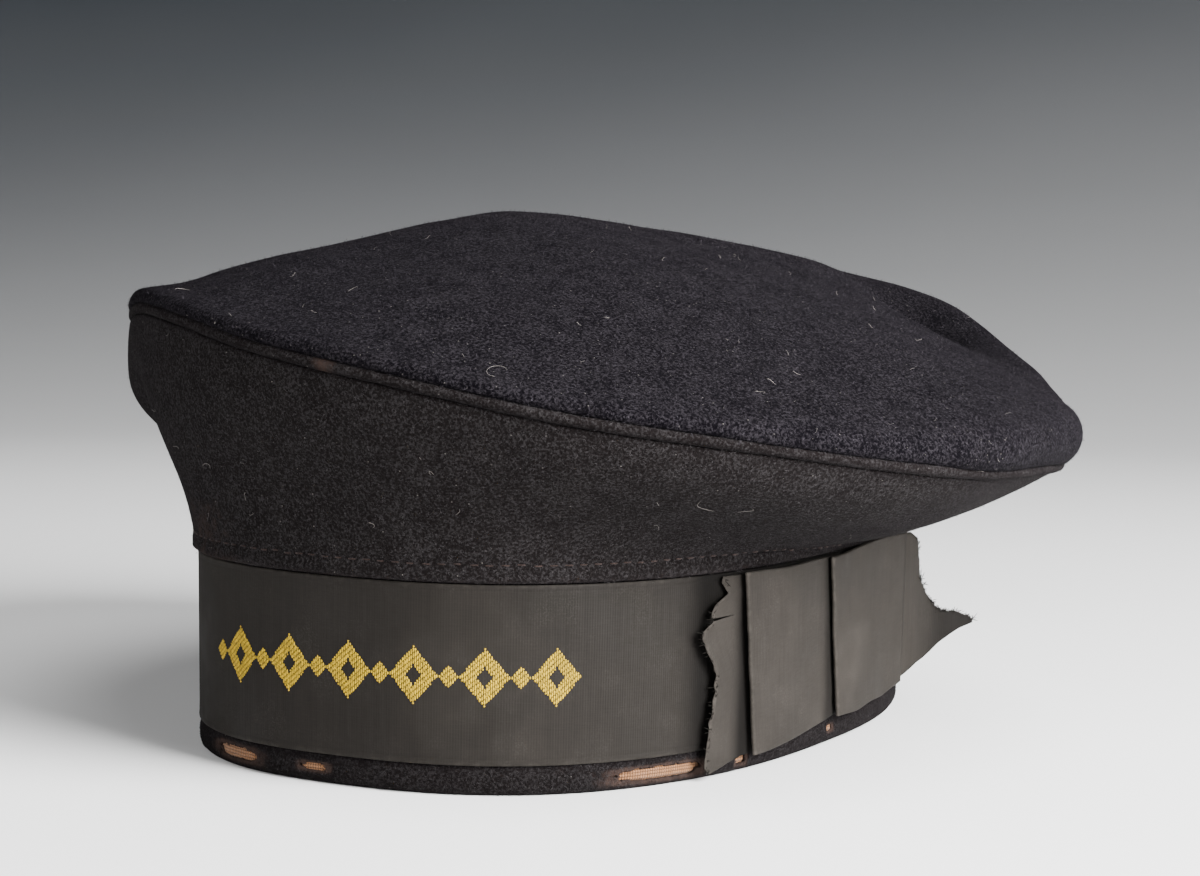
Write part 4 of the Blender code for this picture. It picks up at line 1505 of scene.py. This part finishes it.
class CAP_OT_bow(CapOperator, bpy.types.Operator):
    """Make the flattened bow: torn end, two pleats and the frayed tail"""

    bl_idname = "cap.bow"
    bl_label = "Bow"

    def make(self, sizes, colours):
        folded_loop("bow_front_fold", FRONT_LOOP, "bow_front_pleat", 3.2, 71, 353.6, 0.8, sizes, colours)
        folded_loop("bow_rear_fold", REAR_LOOP, "bow_rear_pleat", 5.6, 75, 389.0, 0.3, sizes, colours)
        self.torn_end(sizes, colours)
        self.tail(sizes, colours)

    def torn_end(self, sizes, colours):
        t = np.concatenate((np.linspace(0, 0.2, 8)[:-1], np.linspace(0.2, 1, 24)))
        v = np.linspace(1, 0, 150)
        turn, share, out = torn_place(t[:, None], v[None, :])
        point = bow_place(turn, share, out)
        jag = 0.35 * value_noise(point * (0.2, 0.2, 1), 0.0016, 81) * bell(t, 0, 0.08)[:, None]
        ripple = 0.00030 * value_noise(point * (1, 1, 1.4), 0.0075, 82) * (1 - ease(1.4 * t))[:, None]
        middle = bow_place(turn + jag, share, out + ripple)
        normals = grid_normals(middle, False)
        half = 0.00024 * edge_rounding(middle, 0.0003, False)
        tear = np.abs(share - 0.752 - 0.02 * t[:, None]) < 0.009 * (1 - t[:, None] / 0.55)
        keep = ~(tear[:-1, :-1] & tear[1:, 1:])
        made = cloth_shell(
            "bow_torn_strip", middle, normals, (half, half), bow_cloth(sizes, colours), False,
            keep=keep,
            cloth_map=metre_map(middle, False),
            wear=0.45 * bell(t, 0, 0.06)[:, None],
            # Painted shade: the strip darker where it tucks under the front pleat
            painted_shade_and_darkening=0.95 * bell(np.minimum(turn_between(turn, 326.5), 0), 0, 2.2),
        )
        put(made, "ribbon", "bow_torn_end")

    def tail(self, sizes, colours):
        reach = np.concatenate((np.linspace(-0.45, 0.2, 16)[:-1], np.linspace(0.2, 1, 60)))
        share = np.linspace(0, 1, 34)
        middle = tail_place(reach[:, None], share[None, :])
        normals = grid_normals(middle, False)
        wave = 0.00028 * value_noise(middle, 0.010, 91) * ease(reach * 2)[:, None]
        middle = middle + normals * wave[..., None]
        half = 0.00024 * edge_rounding(middle, 0.0003, False)
        made = cloth_shell(
            "bow_tail_cloth", middle, normals, (half, half), bow_cloth(sizes, colours), False,
            cloth_map=metre_map(middle, False),
            wear=0.25 * bell(share, 1, 0.07)[None, :] * ease(reach * 4)[:, None],
            # Painted shade: the tail darker towards its tip
            painted_shade_and_darkening=0.8 * ease((reach - 0.15) / 0.6)[:, None],
        )
        put(made, "ribbon", "bow_tail")


class CAP_OT_fray(CapOperator, bpy.types.Operator):
    """Add the frayed threads along the torn edges of the bow"""

    bl_idname = "cap.fray"
    bl_label = "Frayed threads"

    def make(self, sizes, colours):
        rng = np.random.default_rng(101)
        paths = []
        for reach in np.concatenate((rng.uniform(0.24, 0.34, 260), rng.uniform(0.34, 1.0, 620))):
            edge = tail_place(np.array(reach), np.array(0.985))
            ahead = tail_place(np.array(min(1.0, reach + 0.02)), np.array(0.985)) - edge
            ahead[2] *= 0.5
            ahead = ahead / max(np.linalg.norm(ahead), 1e-9)
            inward = tail_place(np.array(reach), np.array(0.80)) - edge
            inward = inward / np.linalg.norm(inward)
            away = -inward * 0.75 + ahead * rng.uniform(-0.5, 0.9) + rng.normal(size=3) * 0.3
            size = rng.uniform(0.0004, 0.0010) * (1.1 + 0.6 * math.sin(reach * 61) * math.sin(reach * 23))
            paths.append(self.strand(edge + inward * 0.0005, away, size, rng))
        for v in rng.uniform(0.02, 0.98, 170):
            turn, share, out = torn_place(np.array(0.0), np.array(v))
            edge = bow_place(turn, share, out)
            inside = bow_place(turn + 0.5, share, out)
            away = (edge - inside) / np.linalg.norm(edge - inside) + rng.normal(size=3) * 0.5
            paths.append(self.strand(inside, away, rng.uniform(0.0004, 0.0011), rng))
        radii = rng.uniform(0.00005, 0.00010, len(paths))
        material = fibre("fray_thread", colours.fray, colours.ribbon, 0.0)
        tints = rng.random(len(paths))
        made = threads("frayed_threads", paths, radii, material, 4, tints)
        put(made, "ribbon")

    def strand(self, start, away, size, rng):
        way = np.linspace(0, 1, 5)[:, None]
        sway = rng.normal(size=3) * size * 0.35
        return start + away * way * size + sway * way**2


class CAP_OT_stitching(CapOperator, bpy.types.Operator):
    """Add the row of stitches over the seam above the ribbon"""

    bl_idname = "cap.stitching"
    bl_label = "Seam stitches"

    def make(self, sizes, colours):
        azimuths, middle, normals = side_grid(sizes)
        outer = middle + normals * (sizes.wool / 2)
        ring_points = np.empty((len(azimuths), 3))
        for i, column in enumerate(outer):
            rising = column[:12, 2]
            for k in range(3):
                ring_points[i, k] = np.interp(STITCH_HEIGHT, rising, column[:12, k])
        ring_points = np.concatenate((ring_points, ring_points[:1]))
        arc = np.concatenate(([0], np.cumsum(np.linalg.norm(np.diff(ring_points, axis=0), axis=1))))
        rng = np.random.default_rng(111)
        pitch = 1.6 * sizes.stitch
        paths = []
        for n in range(int(arc[-1] / pitch)):
            start = n * pitch + rng.normal() * 0.0001
            way = np.linspace(start, start + sizes.stitch * rng.uniform(0.9, 1.1), 7)
            path = np.stack([np.interp(way, arc, ring_points[:, k]) for k in range(3)], 1)
            outward = path[3] - MIDDLE
            outward[2] = 0
            outward /= np.linalg.norm(outward)
            arch = np.sin(np.linspace(0, math.pi, 7))[:, None]
            path = path + outward * (0.00026 * arch - 0.00016)
            path[:, 2] += rng.normal() * 0.00010
            paths.append(path)
        material = fibre("seam_thread", (0.012, 0.008, 0.007), (0.045, 0.030, 0.026), 0.05)
        made = threads("seam_stitches", paths, [0.00019] * len(paths), material, 6)
        put(made, "side_wool")


class CAP_OT_nap(CapOperator, bpy.types.Operator):
    """Raise the loose wool fibres over the crown, welt and hem"""

    bl_idname = "cap.nap"
    bl_label = "Wool nap"

    def make(self, sizes, colours):
        rng = np.random.default_rng(121)
        share = 1.0
        top_fibre = fibre("top_fibre", colours.top_wool, scaled(colours.top_nap, FIBRE_LIFT), 0.0)
        side_fibre = fibre("side_fibre", colours.side_wool, scaled(colours.side_nap, FIBRE_LIFT), 0.0)
        _, middle, normals = top_grid(sizes)
        outer = middle + normals * (sizes.wool / 2)
        count = int(sizes.top_fibres * share)
        self.cover("top_nap", "top_wool", outer, normals, count, top_fibre, sizes.nap, (0.05, 0.75), rng)
        _, middle, normals = side_grid(sizes)
        outer = middle + normals * (sizes.wool / 2)
        count = int(sizes.side_fibres * share)
        length = 0.9 * sizes.nap
        self.cover("side_nap", "side_wool", outer, normals, count, side_fibre, length, (0.05, 0.6), rng)
        _, points, directions = piping_grid(sizes)
        count = int(sizes.hem_fibres * share) // 2
        length = 0.7 * sizes.nap
        self.cover("welt_nap", "side_wool", points, directions, count, side_fibre, length, (0.1, 0.7), rng)
        azimuths, middle, normals, thick, outside = hem_grid(sizes)
        outer = middle + normals * (thick / 2)[..., None]
        far = worn_share(azimuths[:, None], middle[..., 2])
        bias = outside * (far > 0.98) * (middle[..., 2] > 0.0012) * 1.0
        length = 0.6 * sizes.nap
        self.cover("hem_nap", "side_wool", outer, normals, count, side_fibre, length, (0.1, 0.7), rng, bias)

    def cover(self, name, slot, points, normals, count, material, length, rise, rng, bias=None):
        places, out, _ = spread_over(points, normals, count, rng, bias)
        put(nap(name, places, out, material, rng, length, rise), slot)


def curl(start, normal, along, length, turn, rng):
    """A loose hair lying on the cloth in a soft curl."""
    across = np.cross(normal, along)
    angle = math.radians(turn)
    heading = along * math.cos(angle) + across * math.sin(angle)
    bend = rng.choice((-1, 1)) * rng.uniform(1.2, 4.5)
    points = [start + normal * 0.00012]
    for k in range(10):
        share = k / 10
        turned = heading * math.cos(bend * share) + np.cross(normal, heading) * math.sin(bend * share)
        hop = 0.00025 * math.sin(math.pi * share)
        points.append(points[-1] + turned * length / 10 + normal * (hop - 0.00010 if k else 0))
    return np.array(points)


class CAP_OT_lint(CapOperator, bpy.types.Operator):
    """Scatter lint and loose hairs, some where the photograph shows them"""

    bl_idname = "cap.lint"
    bl_label = "Lint and hairs"

    def make(self, sizes, colours):
        rng = np.random.default_rng(131)
        grids = {"top": top_grid(sizes), "side": side_grid(sizes)}
        paths, radii = [], []
        for surface, azimuth, place, length, turn in LINT:
            azimuths, middle, normals = grids[surface]
            i = int(np.argmin(np.abs(turn_between(azimuths, azimuth))))
            j = int(place * (middle.shape[1] - 1))
            paths.append(self.lay(middle, normals, i, j, length, turn, sizes, rng))
            radii.append(0.000028)
        for surface, count in (("top", 0.65), ("side", 0.35)):
            azimuths, middle, normals = grids[surface]
            outer = middle + normals * (sizes.wool / 2)
            places, out, along = spread_over(outer, normals, int(sizes.lint * count), rng)
            for start, normal, way in zip(places, out, along):
                way = way / max(np.linalg.norm(way), 1e-9)
                length = rng.uniform(0.0007, 0.0023)
                paths.append(curl(start, normal, way, length, rng.uniform(0, 360), rng))
                radii.append(rng.uniform(0.000013, 0.000026))
        material = fibre("lint_fibre", colours.lint, scaled(colours.lint, 1.3), 0.0)
        made = threads("lint", paths, radii, material, 4, rng.random(len(paths)))
        put(made, "top_wool")

    def lay(self, middle, normals, i, j, length, turn, sizes, rng):
        normal = normals[i, j]
        start = middle[i, j] + normal * sizes.wool / 2
        along = middle[(i + 1) % len(middle), j] - middle[i, j]
        return curl(start, normal, along / np.linalg.norm(along), length, turn, rng)


# The studio: camera as in the photograph, and soft lights
CAMERA_DISTANCE = 0.7174
CAMERA_HEIGHT = 0.12812
CAMERA_AZIMUTH = 27.99
CAMERA_PAN = 0.555
CAMERA_PITCH = 4.89
CAMERA_ROLL = 1.127
CAMERA_LENS = 90.447

# The floor: radius of its middle face, radius where it starts to rise, reach of the rise, sides
FLOOR_MIDDLE = 0.3
FLOOR_FLAT = 0.8
FLOOR_REACH = 2.2
FLOOR_SIDES = 96

# Soft lights: name, azimuth, distance, height, size, power
AIM_HEIGHT = 0.05
LIGHTS = (
    ("key_softbox", 350, 0.88, 0.46, 0.72, 66.0),
    ("top_softbox", 345, 0.70, 1.80, 1.20, 27.0),
    ("front_fill", 278, 1.20, 0.42, 0.80, 10.0),
    ("back_fill", 205, 1.30, 0.42, 0.80, 6.0),
)


def aim(thing, place, target):
    """Points a camera or light at a target."""
    away = Vector(target) - Vector(place)
    thing.location = place
    thing.rotation_euler = away.to_track_quat("-Z", "Y").to_euler()


class CAP_OT_stage(CapOperator, bpy.types.Operator):
    """Make the seamless pale floor with its painted shade, the soft lights and the camera"""

    bl_idname = "cap.stage"
    bl_label = "Stage"

    def make(self, sizes, colours):
        self.floor(colours)
        self.lights()
        self.camera()

    def floor(self, colours):
        rise = np.linspace(0.0, FLOOR_REACH, 34)
        radii = np.concatenate(([FLOOR_MIDDLE], FLOOR_FLAT + rise))
        heights = np.concatenate(([0.0], rise**2 / 3.2 + 0.12 * rise**4))
        azimuths = np.arange(FLOOR_SIDES) * 360 / FLOOR_SIDES
        points = in_plane(azimuths[None, :], radii[:, None], heights[:, None])
        faces = [tuple(range(FLOOR_SIDES))]
        for r in range(len(radii) - 1):
            for k in range(FLOOR_SIDES):
                a = r * FLOOR_SIDES + k
                b = r * FLOOR_SIDES + (k + 1) % FLOOR_SIDES
                faces.append((a, a + FLOOR_SIDES, b + FLOOR_SIDES, b))
        mesh = bpy.data.meshes.new("studio_floor")
        mesh.from_pydata(points.reshape(-1, 3).tolist(), [], faces)
        made_material, tree, shader = start_material("pale_floor", 0.6, specular=0.2)
        place = object_place(tree)
        far = tree.nodes.new("ShaderNodeVectorMath")
        far.operation = "LENGTH"
        feed(tree, far.inputs[0], place)
        tone = times(tree, noise(tree, place, 3.0, 2.0), 0.03)
        parts = tree.nodes.new("ShaderNodeSeparateXYZ")
        feed(tree, parts.inputs[0], place)
        # Painted shade: the floor darkens with distance, and faster towards the wearer's right and front
        # (-X, -Y)
        east = times(tree, parts.outputs["X"], -0.22)
        north = times(tree, parts.outputs["Y"], -0.12)
        way = plus(tree, far.outputs["Value"], plus(tree, east, north))
        near = maths(tree, "SUBTRACT", 1.0, between(tree, way, 0.30, 2.02))
        share = maths(tree, "SUBTRACT", 1.0, maths(tree, "POWER", near, 1.5))
        share = plus(tree, share, tone)
        feed(tree, shader["Base Color"], mix_colours(tree, share, colours.floor, colours.backdrop_painted_shade))
        made = new_object("studio_floor", mesh, made_material)

    def lights(self):
        for name, azimuth, distance, height, size, power in LIGHTS:
            light = bpy.data.lights.new(name, "AREA")
            light.shape = "DISK"
            light.size = size
            light.energy = power
            made = bpy.data.objects.new(name, light)
            made.visible_camera = False
            bpy.context.scene.collection.objects.link(made)
            turn = math.radians(azimuth)
            place = (distance * math.cos(turn), distance * math.sin(turn), height)
            aim(made, place, (0, 0, AIM_HEIGHT))
        world = bpy.data.worlds.new("studio_air")
        world.use_nodes = True
        back = world.node_tree.nodes["Background"].inputs
        back["Color"].default_value = (1.0, 0.93, 0.87, 1)
        back["Strength"].default_value = 0.06
        bpy.context.scene.world = world

    def camera(self):
        az, yaw = math.radians(CAMERA_AZIMUTH), math.radians(CAMERA_PAN)
        tilt, roll = math.radians(CAMERA_PITCH), math.radians(CAMERA_ROLL)
        toward = np.array([math.sin(az), -math.cos(az), 0.0])
        place = toward * CAMERA_DISTANCE + (0, 0, CAMERA_HEIGHT) + MIDDLE
        ahead, right = -toward, np.array([math.cos(az), math.sin(az), 0.0])
        ahead, right = (
            math.cos(yaw) * ahead + math.sin(yaw) * right,
            math.cos(yaw) * right - math.sin(yaw) * ahead,
        )
        up = np.array([0, 0, 1.0])
        ahead, up = (
            math.cos(tilt) * ahead - math.sin(tilt) * up,
            math.cos(tilt) * up + math.sin(tilt) * ahead,
        )
        right, up = (
            math.cos(roll) * right + math.sin(roll) * up,
            math.cos(roll) * up - math.sin(roll) * right,
        )
        camera = bpy.data.cameras.new("photo_camera")
        camera.sensor_width = 36.0
        camera.lens = CAMERA_LENS
        camera.clip_start = 0.01
        made = bpy.data.objects.new("photo_camera", camera)
        bpy.context.scene.collection.objects.link(made)
        matrix = np.eye(4)
        matrix[:3, 0], matrix[:3, 1], matrix[:3, 2], matrix[:3, 3] = right, up, -ahead, place
        made.matrix_world = Matrix(matrix.tolist())
        bpy.context.scene.camera = made


OPERATORS = (
    CAP_OT_stage,
    CAP_OT_crown_top,
    CAP_OT_crown_side,
    CAP_OT_edge_piping,
    CAP_OT_head_band,
    CAP_OT_stiffener,
    CAP_OT_ribbon,
    CAP_OT_ribbon_motif,
    CAP_OT_bow,
    CAP_OT_fray,
    CAP_OT_stitching,
    CAP_OT_nap,
    CAP_OT_lint,
)


class CAP_PT_panel(bpy.types.Panel):
    """Lists the pieces of the cap"""

    bl_label = "Sailor Cap"
    bl_space_type = "VIEW_3D"
    bl_region_type = "UI"
    bl_category = "Sailor Cap"

    def draw(self, context):
        for operator in OPERATORS:
            self.layout.operator(operator.bl_idname)
        for group in (context.scene.cap_sizes, context.scene.cap_colours):
            for name in group.__annotations__:
                self.layout.prop(group, name)


CLASSES = (CapSizes, CapColours, *OPERATORS, CAP_PT_panel)


def register():
    for made in CLASSES:
        bpy.utils.register_class(made)
    bpy.types.Scene.cap_sizes = PointerProperty(type=CapSizes)
    bpy.types.Scene.cap_colours = PointerProperty(type=CapColours)


def unregister():
    del bpy.types.Scene.cap_colours
    del bpy.types.Scene.cap_sizes
    for made in reversed(CLASSES):
        bpy.utils.unregister_class(made)


def corners(box):
    return [[float(x) for x in corner] for corner in box]


def main():
    register()
    for operator in OPERATORS:
        family, name = operator.bl_idname.split(".")
        getattr(getattr(bpy.ops, family), name)()


if __name__ == "__main__":
    main()
